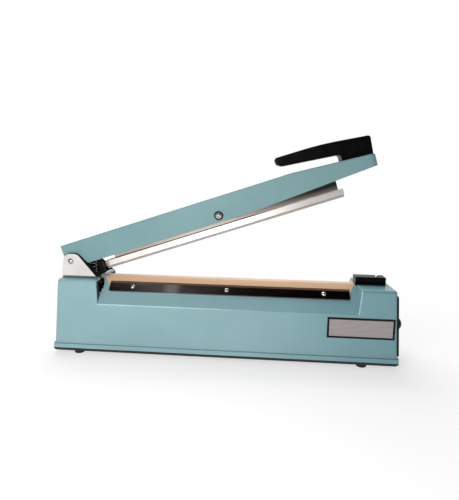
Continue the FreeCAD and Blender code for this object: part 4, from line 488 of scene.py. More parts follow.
@dataclass(frozen=True)
class WorkedMetal(Finish):
    """Bare or plated metal with fine marks along the way it was rolled, drawn or brushed."""

    grain: Grain = Grain.LENGTH
    line_mm: float = 0.6
    line_depth_mm: float = 0.004
    spread: float = 0.05
    shade: str = ""
    tone_span: Span = (0.35, 0.65)
    cloud_mm: float = 35.0
    # Painted shade in seams and recesses, found by ambient occlusion within seam_mm.
    seam_mm: float = 0.0
    seam_shade: str = "14110F"
    seam_span: Span = (0.45, 0.90)

    def surface(self, tree: Tree) -> None:
        """Long thin marks in gloss and relief, a slow drift of tone, and painted shade in seams.

        Args:
            tree: the material's node tree.
        """
        lines = self.pattern(tree, self.line_mm, Detail.LAYERED, self.grain.value)
        self.vary_roughness(tree, lines, self.spread)
        self.emboss(tree, lines, self.line_depth_mm)
        if self.shade:
            self.vary_colour(tree, self.pattern(tree, self.cloud_mm),
                             tuple(zip(self.tone_span, (self.shade, self.colour))))
        if self.seam_mm:
            self.shade_seams(tree)

    def shade_seams(self, tree: Tree) -> None:
        """Darkens recesses and the feet of screw heads with painted shade.

        Args:
            tree: the material's node tree.
        """
        near = add_node(tree, "ShaderNodeAmbientOcclusion", {"Distance": self.seam_mm * MM},
                        samples=8)
        seam_shading = add_node(tree, "ShaderNodeMapRange",
                        {"Value": near.outputs["AO"], "From Min": self.seam_span[0],
                         "From Max": self.seam_span[1], "To Min": 1.0, "To Max": 0.0})
        self.lay_over(tree, seam_shading.outputs["Result"], self.seam_shade)


@dataclass(frozen=True)
class BarMetal(WorkedMetal):
    """Extruded bar: bright flange, a web in painted shade and reflection, and a painted shadow
    line in the groove between them.
    """

    # web: painted reflection on the web, pale at the hinge end and darker towards the grip;
    # web_shade: painted shade under the arm; dull: painted shade on the flange towards the grip;
    # groove: painted shadow line.
    web: Stops = ((0.0, "C0B2A9"), (0.45, "9B9189"), (0.80, "8A807E"), (1.0, "7F7875"))
    web_shade: str = "353332"
    dull: str = "D9D4D0"
    groove: str = "120F0E"
    span_mm: Span = (-60.0, 120.0)
    grip_span: Span = (0.40, 0.95)
    pin_mm: Span = (-205.936, 121.2)
    lean_deg: float = 18.5
    groove_mm: Span = (-14.75, -13.75)
    web_top_mm: float = -8.0

    def surface(self, tree: Tree) -> None:
        """Die lines, painted shade and reflection by the height on the section, and painted shade
        that darkens all of it towards the grip.

        Args:
            tree: the material's node tree.
        """
        super().surface(tree)
        slope = math.radians(self.lean_deg)
        known = coordinates(tree)
        work_out(tree, known, (
            ("x", "SUBTRACT", "X", self.pin_mm[0] * MM),
            ("z", "SUBTRACT", "Z", self.pin_mm[1] * MM),
            ("risen", "MULTIPLY", "z", math.cos(slope)),
            ("run", "MULTIPLY", "x", math.sin(slope)),
            ("height", "SUBTRACT", "risen", "run")))
        for name, source, (low, high), kind in (
                ("along", "X", (self.span_mm[0] * MM, self.span_mm[1] * MM), "LINEAR"),
                ("far", "along", self.grip_span, "SMOOTHSTEP"),
                ("up", "height", (self.groove_mm[1] * MM, self.web_top_mm * MM), "LINEAR")):
            known[name] = add_node(
                tree, "ShaderNodeMapRange",
                {"Value": known[source], "From Min": low, "From Max": high},
                interpolation_type=kind).outputs["Result"]
        work_out(tree, known, (
            ("on web", "GREATER_THAN", "height", self.groove_mm[1] * MM),
            ("over groove", "GREATER_THAN", "height", self.groove_mm[0] * MM),
            ("near", "SUBTRACT", 1.0, "far"),
            ("in groove", "MULTIPLY", "over groove", "near"),
            ("in shade", "MULTIPLY", "up", "far", "on web")))
        web = set_ramp(add_node(tree, "ShaderNodeValToRGB", {"Fac": known["along"]}), self.web)
        # Painted shade towards the grip, a painted shadow in the groove, the web's painted
        # reflection and painted shade under the arm.
        for mask, tone in (("far", self.dull), ("in groove", self.groove), ("on web", web),
                           ("in shade", self.web_shade)):
            self.lay_over(tree, known[mask], tone)


@dataclass(frozen=True)
class TintedStrip(Finish):
    """Bright-rolled stainless strip, its painted reflection darker towards the timer end."""

    # Painted reflection along the strip: palest a fifth of the way along, darkest at the timer
    # end.
    painted_reflection_tones: Stops = ((0.0, "3E393A"), (0.09, "6A605F"), (0.22, "968B8A"), (0.36, "6A5F5D"),
                   (0.55, "453A39"), (0.80, "1C1415"))
    start_mm: float = -156.0
    length_mm: float = 310.0
    cloud_mm: float = 26.0
    cloud_stretch: Triple = (0.35, 1.0, 1.0)
    cloud_share: float = 0.5
    middle_mm: float = -4.06
    edges_mm: Span = (14.9, 23.7)
    # Painted reflection of the cloth on the upper edge, painted highlight on the lower edge, and a
    # painted highlight patch.
    upper_edge_reflection: str = "C39C80"
    lower_edge_highlight: str = "C9C5C3"
    highlight_patch_mm: Triple = (-74.0, 3.0, 15.0)
    highlight_patch: str = "DAD4D6"
    highlight_patch_share: float = 0.8
    line_mm: float = 0.8
    line_depth_mm: float = 0.002

    def surface(self, tree: Tree) -> None:
        """Painted reflection that darkens along the strip, a painted highlight patch, a painted
        highlight on the lower edge and a painted reflection of the cloth on the upper one, and
        faint rolling lines.

        Args:
            tree: the material's node tree.
        """
        known = coordinates(tree)
        known["clouds"] = self.pattern(tree, self.cloud_mm, stretch=self.cloud_stretch)
        known["along"] = add_node(
            tree, "ShaderNodeMapRange",
            {"Value": known["X"], "From Min": self.start_mm * MM,
             "From Max": (self.start_mm + self.length_mm) * MM}).outputs["Result"]
        centre, near, far = self.highlight_patch_mm
        work_out(tree, known, (
            ("wave", "MULTIPLY", "clouds", self.cloud_share),
            ("drift", "SUBTRACT", "wave", self.cloud_share / 2),
            ("total", "ADD", "along", "drift"),
            ("off centre", "SUBTRACT", "X", centre * MM),
            ("away", "ABSOLUTE", "off centre"),
            ("off middle", "SUBTRACT", "Y", self.middle_mm * MM),
            ("across", "ABSOLUTE", "off middle"),
            ("low", "GREATER_THAN", "across", self.edges_mm[1] * MM),
            ("high", "LESS_THAN", "across", self.edges_mm[0] * MM)))
        known["glow"] = add_node(
            tree, "ShaderNodeMapRange",
            {"Value": known["away"], "From Min": near * MM, "From Max": far * MM,
             "To Min": self.highlight_patch_share, "To Max": 0.0},
            interpolation_type="SMOOTHSTEP").outputs["Result"]
        # Painted reflection along the strip, then the painted highlight patch and the painted
        # edges.
        self.vary_colour(tree, known["total"], self.painted_reflection_tones)
        for mask, tone in (("glow", self.highlight_patch), ("low", self.lower_edge_highlight),
                           ("high", self.upper_edge_reflection)):
            self.lay_over(tree, known[mask], tone)
        lines = self.pattern(tree, self.line_mm, stretch=Grain.LENGTH.value)
        self.emboss(tree, lines, self.line_depth_mm)


@dataclass(frozen=True)
class Moulding(Finish):
    """Injection-moulded plastic or rubber with the fine grain of its tool."""

    grain_mm: float = 0.7
    grain_depth_mm: float = 0.02
    grain_share: float = 0.7
    gloss_mm: float = 9.0
    spread: float = 0.06
    wear_and_highlight: str = ""
    worn_cloud_mm: float = 22.0
    worn_span: Span = (0.45, 0.8)

    def surface(self, tree: Tree) -> None:
        """Pebbled grain, uneven gloss and, where handled, a paler rub.

        Args:
            tree: the material's node tree.
        """
        grain = self.pattern(tree, self.grain_mm, Detail.PLAIN)
        self.emboss(tree, grain, self.grain_depth_mm, self.grain_share)
        self.vary_roughness(tree, self.pattern(tree, self.gloss_mm, Detail.LAYERED), self.spread)
        if self.wear_and_highlight:
            self.vary_colour(tree, self.pattern(tree, self.worn_cloud_mm, Detail.RICH),
                             tuple(zip(self.worn_span, (self.colour, self.wear_and_highlight))))


@dataclass(frozen=True)
class GlassCloth(Finish):
    """Woven glass cloth soaked with a slippery resin: tan, satin, threads just visible."""

    thread_mm: float = 0.9
    thread: str = "D1AE90"
    weave_depth_mm: float = 0.03
    weave_share: float = 0.5
    shade: str = "D9B899"
    tone_span: Span = (0.3, 0.7)
    cloud_mm: float = 18.0
    cloud_stretch: Triple = (0.3, 1.0, 1.0)
    # A darker tan line along the crest, over the element.
    crest_line_colour: str = "BE9978"
    crest_line_mm: Span = (1.02, 3.06)
    crest_line_share: float = 0.55

    def surface(self, tree: Tree) -> None:
        """Plain weave, drawn about twice as coarse as it is, and a warm line over the element.

        Args:
            tree: the material's node tree.
        """
        turn = math.pi / (self.thread_mm * MM)
        known = coordinates(tree, "cloth")
        work_out(tree, known, (
            ("long phase", "MULTIPLY", "X", turn),
            ("cross phase", "MULTIPLY", "Y", turn),
            ("long thread", "SINE", "long phase"),
            ("cross thread", "SINE", "cross phase"),
            ("half weave", "MULTIPLY", "long thread", "cross thread", 0.5),
            ("weave", "ADD", "half weave", 0.5),
            ("across", "ABSOLUTE", "Y")))
        known["line"] = add_node(
            tree, "ShaderNodeMapRange",
            {"Value": known["across"], "From Min": self.crest_line_mm[0] * MM,
             "From Max": self.crest_line_mm[1] * MM, "To Min": 1.0, "To Max": 0.0},
            interpolation_type="SMOOTHSTEP").outputs["Result"]
        work_out(tree, known, (("crest_line_mask", "MULTIPLY", "line", self.crest_line_share),))
        patches = self.pattern(tree, self.cloud_mm, Detail.LAYERED, self.cloud_stretch)
        self.vary_colour(tree, patches, tuple(zip(self.tone_span, (self.shade, self.colour))))
        self.lay_over(tree, known["weave"], self.thread)
        self.lay_over(tree, known["crest_line_mask"], self.crest_line_colour)
        self.emboss(tree, known["weave"], self.weave_depth_mm, self.weave_share)


@dataclass(frozen=True)
class FramedPlate(Finish):
    """Bare brushed plate with a printed dark frame."""

    low_mm: Span = (0.0, 0.0)
    high_mm: Span = (10.0, 10.0)
    frame_mm: float = 2.5
    frame_colour: str = "050505"
    shade: str = "9C9595"
    tone_span: Span = (0.35, 0.65)
    line_mm: float = 0.9
    line_depth_mm: float = 0.003

    def surface(self, tree: Tree) -> None:
        """Frame along the plate's four edges, brushed field inside it.

        Args:
            tree: the material's node tree.
        """
        lines = self.pattern(tree, self.line_mm, Detail.LAYERED, Grain.LENGTH.value)
        self.vary_colour(tree, lines, tuple(zip(self.tone_span, (self.shade, self.colour))))
        known = coordinates(tree)
        for axis, low, high in zip("XZ", self.low_mm, self.high_mm):
            work_out(tree, known, (
                ("offset", "SUBTRACT", axis, (low + high) / 2 * MM),
                ("away", "ABSOLUTE", "offset"),
                ("edge " + axis, "GREATER_THAN", "away",
                 ((high - low) / 2 - self.frame_mm) * MM)))
        work_out(tree, known, (("frame", "MAXIMUM", "edge X", "edge Z"),))
        self.lay_over(tree, known["frame"], self.frame_colour)
        self.emboss(tree, lines, self.line_depth_mm)


@dataclass(frozen=True)
class Stacked(Finish):
    """Rows of thin layers or turns, such as laminations or wound wire."""

    pitch_mm: float = 1.0
    axis: str = "Y"
    gap_colour: str = "1A1614"
    tone_span: Span = (0.1, 0.4)
    groove_share: float = 0.2
    relief_share: float = 0.6

    def surface(self, tree: Tree) -> None:
        """Evenly spaced lines across one axis.

        Args:
            tree: the material's node tree.
        """
        known = coordinates(tree)
        work_out(tree, known, (
            ("phase", "MULTIPLY", self.axis, 2 * math.pi / (self.pitch_mm * MM)),
            ("wave", "SINE", "phase"),
            ("half wave", "MULTIPLY", "wave", 0.5),
            ("layer", "ADD", "half wave", 0.5)))
        self.vary_colour(tree, known["layer"],
                         tuple(zip(self.tone_span, (self.gap_colour, self.colour))))
        self.emboss(tree, known["layer"], self.pitch_mm * self.groove_share, self.relief_share)


# Alkyd enamel on die-cast aluminium: pale greenish blue, satin gloss with a soft clear skin.
CASE_PAINT = CasePaint("Stoved_enamel_pale_blue", "82A7AF", 0.38, coat=0.35, specular=0.35,
                       coat_roughness=0.12, shade="7EA3AB", tint="86ABB3")
# The same enamel on the arm, nearly matt, sprayed in a thinner coat; its deeper colour is painted
# shade.
ARM_PAINT = SprayedPaint("Stoved_enamel_arm_blue", "74969B", 0.60, coat=0.05, specular=0.12,
                         coat_roughness=0.20, shade="709297", tint="789A9F")
# Powder coat on the bottom plate's steel sheet: nearly black, dull, with a coarse peel.
PLATE_PAINT = SprayedPaint("Powder_coated_steel_sheet", "161A1B", 0.52, shade="131617",
                           tint="1A1E20", peel_mm=1.6, peel_depth_mm=0.02)
# Nickel-chrome plate on folded steel: nearly white, mirror-like with faint polishing lines,
# and painted shade in its recesses.
BRACKET_CHROME = WorkedMetal("Nickel_chrome_plate", "ECE8E6", 0.20, 1.0, grain=Grain.HEIGHT,
                             line_mm=0.9, shade="DFDAD8", seam_mm=1.3, seam_shade="2A2B2D")
# Zinc-plated machine screws: bright with a faint grey bloom, with painted shade round their heads.
SCREW_ZINC = WorkedMetal("Zinc_plated_screw_steel", "D4D2CF", 0.24, 1.0, line_mm=0.5,
                         line_depth_mm=0.002, seam_mm=1.6)
# Cold-drawn steel: grey, satin.
DRAWN_STEEL = WorkedMetal("Cold_drawn_steel", "A9A6A2", 0.34, 1.0, shade="9A9691")
# Oil-hardened spring wire: brownish grey.
SPRING_WIRE = WorkedMetal("Oil_hardened_spring_wire", "C2B5A8", 0.34, 1.0, line_mm=0.3,
                          shade="A8998A")
# Extruded aluminium, left bare: silvery, with die lines along its length; painted shade
# and reflection on the web and towards the grip.
BAR_ALUMINIUM = BarMetal("Mill_finish_extruded_aluminium", "F3EFEC", 0.34, 1.0, line_mm=0.7,
                         line_depth_mm=0.006, shade="E6E1DD")
# Bright-rolled stainless: glossy, its dark tones painted reflection of a dark room.
CLAMP_STEEL = TintedStrip("Bright_rolled_stainless_strip", "3A3032", 0.13, 1.0)
# Free-cutting brass: yellow, satin.
TERMINAL_BRASS = WorkedMetal("Free_cutting_brass", "C7A25A", 0.30, 1.0, shade="B8934E")
# Sintered bronze bush: brown, dull with oil.
BUSH_BRONZE = WorkedMetal("Sintered_bronze", "9A7746", 0.45, 1.0, shade="7F6138")
# Resistance ribbon: bluish grey from heat.
ELEMENT_ALLOY = WorkedMetal("Nickel_chrome_ribbon", "7E7A78", 0.32, 1.0, shade="6A6670")
# Solid silicone rubber: grey, matt with a dry bloom.
SILICONE = Moulding("Grey_silicone_rubber", "A29C99", 0.62, grain_mm=1.4, grain_depth_mm=0.015)
# Carbon-filled rubber of the feet and the cable entry: black, dull.
BLACK_RUBBER = Moulding("Carbon_filled_rubber", "141413", 0.74, grain_mm=0.9)
# ABS handle: black, satin gloss, finely pebbled, rubbed a little where hands hold it.
HANDLE_ABS = Moulding("Black_pebbled_abs", "030303", 0.36, specular=0.08, grain_mm=0.6,
                      grain_depth_mm=0.010, wear_and_highlight="0B0B0B")
# Phenolic cover of the terminal: black, glossy, with soft reflections.
COVER_PHENOLIC = Moulding("Black_phenolic_moulding", "010101", 0.22, specular=0.07,
                          grain_mm=1.8, grain_depth_mm=0.006)
# Nylon liners and washers: black, dull.
LINER_NYLON = Moulding("Black_nylon_sheet", "050404", 0.50, specular=0.10, grain_mm=0.5)
# Knob: black phenolic, a little duller than the cover.
KNOB_PHENOLIC = Moulding("Black_phenolic_knob", "030303", 0.34, specular=0.14, grain_mm=0.8,
                         grain_depth_mm=0.008)
# Glass-mat laminate under the tape: off-white, dry.
BED_LAMINATE = Moulding("Glass_mat_laminate", "D9D2BF", 0.66, grain_mm=0.8, wear_and_highlight="CBC1A9")
# Adhesive-backed glass tape: brown, satin.
TAPE_BROWN = Moulding("Adhesive_glass_tape", "B98F63", 0.50, grain_mm=0.8)
# Paper-phenolic board: brown and slightly shiny.
BOARD_LAMINATE = Moulding("Paper_phenolic_board", "8C5A2B", 0.42, grain_mm=0.6, wear_and_highlight="7A4E25")
# Phenolic insulating blocks: dark red-brown.
INSULATOR_PHENOLIC = Moulding("Red_brown_phenolic_block", "5A2C1C", 0.45)
# Red polycarbonate lamp lenses: clear gloss over a faint ripple.
LAMP_LENS = Moulding("Red_polycarbonate_lens", "A81C14", 0.10, coat=0.6, grain_mm=2.2,
                     grain_depth_mm=0.03)
# Glass cloth of the sealing line, soaked with resin: cream to tan, satin.
LINE_CLOTH = GlassCloth("Resin_coated_glass_cloth", "DDBB99", 0.40, coat=0.12,
                        coat_roughness=0.30)
# Printed aluminium panel at the timer end: near-black enamel, fine and dull.
PANEL_PRINT = SprayedPaint("Printed_panel_enamel", "08090A", 0.46, specular=0.3, shade="070708",
                           tint="0B0B0C", peel_mm=1.0, peel_depth_mm=0.004)
# Screen-printing ink of the dial and the pointer: white, matt.
DIAL_INK = Moulding("White_screen_ink", "E6E6E2", 0.55, grain_mm=0.5, grain_depth_mm=0.004)
# Silicon-steel core, its laminations half a millimetre each, drawn at twice that.
CORE_STEEL = Stacked("Laminated_core_steel", "5B5653", 0.45, 0.8, pitch_mm=1.0, axis="Y")
# Taped copper winding: amber tape over turns of wire.
WINDING_TAPE = Stacked("Taped_copper_winding", "C08A2E", 0.40, pitch_mm=1.6, axis="Z",
                       gap_colour="8A5E1C")


@dataclass
class Assembly:
    """Sub-assembly of the machine, with the finish of each of its nodes."""

    finishes: ClassVar[dict[str, Finish]] = {}

    def dress(self) -> None:
        """Gives each node its material."""
        for node, finish in self.finishes.items():
            slots = frame["nodes"][node].data.materials
            slots.clear()
            slots.append(finish.material())
            LOG.info("%s: %s in %s", type(self).__name__, node, finish.name)

    def build(self) -> None:
        """Adds the pieces that the nodes lack."""

    def add_piece(self, name: str, shape: bmesh.types.BMesh, finish: Finish, body: Body,
                  slot: str, smooth_deg: float = 40.0) -> bpy.types.Object:
        """Turns a finished shape into a piece that rides on a body.

        Args:
            name: the piece's name.
            shape: its mesh, in place in the machine's frame; it is freed here.
            finish: its surface.
            body: the group that it moves with.
            slot: the record's material slot that it belongs to; not used.
            smooth_deg: edges that turn by less than this are shaded smooth.

        Returns:
            The new object.
        """
        bmesh.ops.remove_doubles(shape, verts=shape.verts[:], dist=WELD)
        bmesh.ops.recalc_face_normals(shape, faces=shape.faces[:])
        limit = math.radians(smooth_deg)
        for face in shape.faces:
            face.smooth = True
        for edge in shape.edges:
            edge.smooth = edge.calc_face_angle(math.pi) < limit
        mesh = bpy.data.meshes.new(name)
        shape.to_mesh(mesh)
        shape.free()
        mesh.materials.append(finish.material())
        piece = bpy.data.objects.new(name, mesh)
        bpy.context.scene.collection.objects.link(piece)
        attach(piece, body.value)
        LOG.info("%s: %s with %d faces", type(self).__name__, name, len(mesh.polygons))
        return piece


@dataclass
class CastBase(Assembly):
    """Case, its bottom plate and its feet."""

    finishes = {
        "base_housing": CASE_PAINT, "bottom_plate": PLATE_PAINT, "rubber_feet": BLACK_RUBBER,
        "foot_screws": SCREW_ZINC, "plate_screws": SCREW_ZINC, "cable_gland": BLACK_RUBBER,
        "fuse_holder": COVER_PHENOLIC,
    }


@dataclass
class FrontPlate(Assembly):
    """Bare plate on the front, with its dark frame."""

    def dress(self) -> None:
        """Fits the frame's print to the plate's edges."""
        low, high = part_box("name_plate")
        self.finishes = {"name_plate": FramedPlate(
            "Brushed_plate_with_dark_frame", "AAA3A3", 0.42, 0.55,
            low_mm=(low[0] / MM, low[2] / MM), high_mm=(high[0] / MM, high[2] / MM))}
        super().dress()


@dataclass
class HingeEnd(Assembly):
    """Bracket, liners, pin and return spring."""

    finishes = {
        "hinge_bracket": BRACKET_CHROME, "hinge_liners": LINER_NYLON, "hinge_pin": DRAWN_STEEL,
        "hinge_screws": SCREW_ZINC, "bracket_screws": SCREW_ZINC, "bracket_nuts": SCREW_ZINC,
        "return_spring": SPRING_WIRE, "spring_cap": DRAWN_STEEL,
    }


@dataclass
class SealingLine(Assembly):
    """Bed, element, cloth and clamp strips along the ridge; sizes in mm unless named else."""

    finishes = {
        "seal_bed": BED_LAMINATE, "bed_tape": TAPE_BROWN, "heating_element": ELEMENT_ALLOY,
        "front_clamp_strip": CLAMP_STEEL, "rear_clamp_strip": CLAMP_STEEL,
        "clamp_screws": SCREW_ZINC, "ptfe_cloth": LINE_CLOTH,
    }
    slope_deg: float = 44.0
    crest_z: float = 100.0
    crest_half: float = 4.72
    crest_round: float = 2.0
    low_z: float = 83.2
    thickness: float = 0.20
    swell: float = 0.35
    swell_run: float = 8.2
    swell_start: float = 0.1
    ripple: float = 0.5
    ripples: tuple[Triple, ...] = ((0.3, 23.0, 1.0), (0.2, 9.0, 0.0))
    tip: float = 4.3
    shoulder: float = 7.3
    foot: float = 23.3
    left_back: Span = (3.3, 13.4)
    right_back: Span = (1.5, 8.5)
    columns: int = 220
    rows: int = 64
    smooth_deg: float = 60.0

    def half_width(self) -> float:
        """Width of the cloth's front half, laid flat.

        Returns:
            Its length from the crest's middle to its lower edge, in mm.
        """
        slope = math.radians(self.slope_deg)
        lost = self.crest_round * math.tan(slope / 2)
        arc = self.crest_round * slope
        return self.crest_half - lost + arc + (self.crest_z - self.low_z) / math.sin(slope) - lost

    def section(self, along: float) -> Triple:
        """Place of the cloth across the ridge.

        Args:
            along: length of cloth from the crest's middle, in mm.

        Returns:
            Distance from the middle, height, and the share of the swell, in mm.
        """
        slope = math.radians(self.slope_deg)
        lost = self.crest_round * math.tan(slope / 2)
        flat = self.crest_half - lost
        arc = self.crest_round * slope
        if along <= flat:
            return along, self.crest_z, 0.0
        if along <= flat + arc:
            turned = (along - flat) / self.crest_round
            return (flat + self.crest_round * math.sin(turned),
                    self.crest_z - self.crest_round * (1 - math.cos(turned)), self.swell_start)
        run = along - flat - arc
        reach = run + lost
        swell = max(0.0, math.sin(min(1.0, run / self.swell_run) * math.pi))
        return (self.crest_half + reach * math.cos(slope),
                self.crest_z - reach * math.sin(slope), swell)

    def set_back(self, along: float, back: Span) -> float:
        """Follows the cloth's pointed end.

        Args:
            along: length of cloth from the crest's middle, in mm.
            back: how far the end stands back at its shoulder and at its foot.

        Returns:
            How far the end stands back from its tip there, in mm.
        """
        if along <= self.tip:
            return 0.0
        if along <= self.shoulder:
            return (along - self.tip) / (self.shoulder - self.tip) * back[0]
        share = min(1.0, (along - self.shoulder) / (self.foot - self.shoulder))
        return back[0] + share * (back[1] - back[0])

    def place(self, u: float, w: float, tips: Span, middle: float) -> tuple[Vector, float]:
        """Turns a point of the flat grid into its place on the machine.

        Args:
            u: from -1 at the left end to 1 at the right end.
            w: from -1 at the front edge to 1 at the back edge.
            tips: the tips' left and right ends, in mm.
            middle: middle of the ridge along Y, in mm.

        Returns:
            The place in metres, and the length of cloth from the crest, in metres.
        """
        along = abs(w) * self.half_width()
        across, height, swell = self.section(along)
        left = tips[0] + self.set_back(along, self.left_back)
        right = tips[1] - self.set_back(along, self.right_back)
        x = left + (u + 1) / 2 * (right - left)
        slope = math.radians(self.slope_deg)
        lift = self.swell * swell * sum(
            (share * math.sin(x / length + phase) for share, length, phase in self.ripples),
            self.ripple)
        side = -1.0 if w < 0 else 1.0
        spot = Vector((x, middle + side * (across + lift * math.sin(slope)),
                       height + lift * math.cos(slope)))
        return spot * MM, side * along * MM

    def build(self) -> None:
        """Makes the cloth: a grid bent over the ridge, then given its thickness."""
        low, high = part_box("ptfe_cloth")
        middle = (low[1] + high[1]) / 2 / MM
        tips = (low[0] / MM, high[0] / MM)
        sheet = bmesh.new()
        bmesh.ops.create_grid(sheet, x_segments=self.columns, y_segments=self.rows, size=1.0)
        across = {}
        for vert in sheet.verts:
            vert.co, across[vert] = self.place(vert.co.x, vert.co.y, tips, middle)
        layer = sheet.loops.layers.uv.new("cloth")
        for face in sheet.faces:
            for loop in face.loops:
                loop[layer].uv = (loop.vert.co.x, across[loop.vert])
        area = sum(face.calc_area() for face in sheet.faces)
        bmesh.ops.recalc_face_normals(sheet, faces=sheet.faces[:])
        bmesh.ops.solidify(sheet, geom=sheet.faces[:], thickness=self.thickness * MM)
        cloth = self.add_piece("sealing_cloth", sheet, LINE_CLOTH, Body.BASE, "ptfe_cloth",
                               self.smooth_deg)
        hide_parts("ptfe_cloth")


@dataclass
class RightTerminal(Assembly):
    """Terminal, its insulator and its moulded cover."""

    finishes = {
        "terminal_cover": COVER_PHENOLIC, "terminal_cover_screw": SCREW_ZINC,
        "element_terminals": TERMINAL_BRASS, "terminal_insulators": INSULATOR_PHENOLIC,
    }


@dataclass
class PressArm(Assembly):
    """Arm with its handle, striker and pivot screw."""

    finishes = {
        "press_arm": ARM_PAINT, "arm_bushes": BUSH_BRONZE, "handle": HANDLE_ABS,
        "handle_screws": SCREW_ZINC, "arm_striker": LINER_NYLON, "bar_pivot_screw": SCREW_ZINC,
        "pivot_washers": LINER_NYLON, "bar_pivot_nut": SCREW_ZINC,
    }


@dataclass
class PressureBar(Assembly):
    """Bar under the arm and its rubber."""

    finishes = {"pressure_bar": BAR_ALUMINIUM, "silicone_strip": SILICONE}


@dataclass
class InnerWorks(Assembly):
    """Electric parts inside the case."""

    finishes = {
        "transformer_core": CORE_STEEL, "transformer_winding": WINDING_TAPE,
        "transformer_strap": DRAWN_STEEL, "timer_board": BOARD_LAMINATE,
        "board_components": KNOB_PHENOLIC, "board_standoffs": TERMINAL_BRASS,
        "potentiometer": DRAWN_STEEL, "micro_switch": COVER_PHENOLIC,
        "switch_plunger": INSULATOR_PHENOLIC, "switch_bracket": DRAWN_STEEL,
        "switch_screws": SCREW_ZINC,
    }


@dataclass
class TimerEnd(Assembly):
    """Panel, lamps, knob and the printed dial; sizes in mm, measured from the knob's middle."""

    finishes = {
        "end_panel": PANEL_PRINT, "panel_screws": SCREW_ZINC, "indicator_lamps": LAMP_LENS,
        "timer_knob": KNOB_PHENOLIC, "timer_shaft": DRAWN_STEEL,
    }
    panel: float = 1.0
    ink: float = 0.06
    steps: int = 8
    sweep_deg: float = 270.0
    mark_inner: float = 11.6
    mark_outer: Span = (13.6, 12.6)
    mark_wide: Span = (0.5, 0.3)
    digit_radius: float = 16.4
    digit_size: float = 3.4
    inlay_ends: Span = (3.9, 8.1)
    inlay_half: float = 0.42
    inlay_steps: int = 8
    knob_foot: float = 4.3
    dome_middle: float = 6.075
    dome_radius: float = 9.45

    def face(self) -> Matrix:
        """Finds the end wall at the knob.

        Returns:
            Its matrix: Z out of the wall, Y up, X towards the back.
        """
        joint = next(j for j in frame["joints"] if j["name"] == "timer_turn")
        out = Vector(joint["axis"]).normalized()
        side = Vector((0.0, 1.0, 0.0))
        turned = Matrix((side, out.cross(side), out)).transposed().to_4x4()
        return Matrix.Translation(Vector(joint["pos_m"])) @ turned

    def dial_angle(self, step: float) -> float:
        """Clockwise angle of a dial step from straight up, in radians."""
        return math.radians(-self.sweep_deg / 2 + self.sweep_deg * step / (self.steps - 1))

    def print_marks(self) -> bmesh.types.BMesh:
        """Long marks at the numbers and short ones between them.

        Returns:
            The marks, in place.
        """
        marks = bmesh.new()
        for number in range(2 * self.steps - 1):
            length = self.mark_outer[number % 2] - self.mark_inner
            size = Matrix.Diagonal((self.mark_wide[number % 2] * MM, length * MM,
                                    self.ink * MM, 1.0))
            lift = Vector((0.0, self.mark_inner + length / 2, self.panel + self.ink / 2)) * MM
            turn = Matrix.Rotation(-self.dial_angle(number / 2), 4, "Z")
            bmesh.ops.create_cube(marks, size=1.0,
                                  matrix=self.face() @ turn @ Matrix.Translation(lift) @ size)
        return marks

    def print_digits(self) -> bmesh.types.BMesh:
        """Numbers of the dial, upright round the knob.

        Returns:
            The numbers, in place.
        """
        digits = bmesh.new()
        for step in range(self.steps):
            curve = bpy.data.curves.new("dial_digit", "FONT")
            curve.body = str(step + 1)
            curve.size = self.digit_size * MM
            curve.align_x = "CENTER"
            curve.align_y = "CENTER"
            curve.extrude = self.ink / 2 * MM
            holder = bpy.data.objects.new("dial_digit", curve)
            mesh = bpy.data.meshes.new_from_object(holder)
            angle = self.dial_angle(step)
            spot = Vector((self.digit_radius * math.sin(angle),
                           self.digit_radius * math.cos(angle), self.panel + self.ink / 2)) * MM
            mesh.transform(self.face() @ Matrix.Translation(spot))
            digits.from_mesh(mesh)
            bpy.data.objects.remove(holder)
            bpy.data.curves.remove(curve)
            bpy.data.meshes.remove(mesh)
        return digits

    def pointer_inlay(self) -> bmesh.types.BMesh:
        """White bar in the knob's groove, its top a little under the dome.

        Returns:
            The bar, in place.
        """
        bar = bmesh.new()
        start, end = self.inlay_ends
        outline = [(start, self.knob_foot)]
        for number in range(self.inlay_steps + 1):
            up = start + (end - start) * number / self.inlay_steps
            outline.append((up, self.dome_middle + math.sqrt(self.dome_radius ** 2 - up ** 2)))
        outline.append((end, self.knob_foot))
        verts = [bar.verts.new((-self.inlay_half * MM, up * MM, out * MM)) for up, out in outline]
        grown = bmesh.ops.extrude_face_region(bar, geom=[bar.faces.new(verts)])
        moved = [item for item in grown["geom"] if isinstance(item, bmesh.types.BMVert)]
        bmesh.ops.translate(bar, verts=moved, vec=(2 * self.inlay_half * MM, 0.0, 0.0))
        bmesh.ops.transform(bar, matrix=self.face(), verts=bar.verts[:])
        return bar

    def build(self) -> None:
        """Adds the dial's print and the knob's pointer."""
        self.add_piece("dial_marks", self.print_marks(), DIAL_INK, Body.BASE, "panel_print")
        self.add_piece("dial_numbers", self.print_digits(), DIAL_INK, Body.BASE, "panel_print")
        self.add_piece("knob_pointer", self.pointer_inlay(), DIAL_INK, Body.TIMER, "black_plastic")


@dataclass
class Softbox:
    """Square studio light."""

    name: str
    place: Triple
    target: Triple
    size: float
    power: float
    colour: str = "FFFFFF"

    def make(self) -> None:
        """Puts the light in its place, turned to its target."""
        lamp = bpy.data.lights.new(self.name, "AREA")
        lamp.shape = "SQUARE"
        lamp.size = self.size
        lamp.energy = self.power
        lamp.color = linear(self.colour)[:3]
        holder = bpy.data.objects.new(self.name, lamp)
        bpy.context.scene.collection.objects.link(holder)
        holder.location = Vector(self.place)
        aim = Vector(self.target) - Vector(self.place)
        holder.rotation_euler = aim.to_track_quat("-Z", "Y").to_euler()


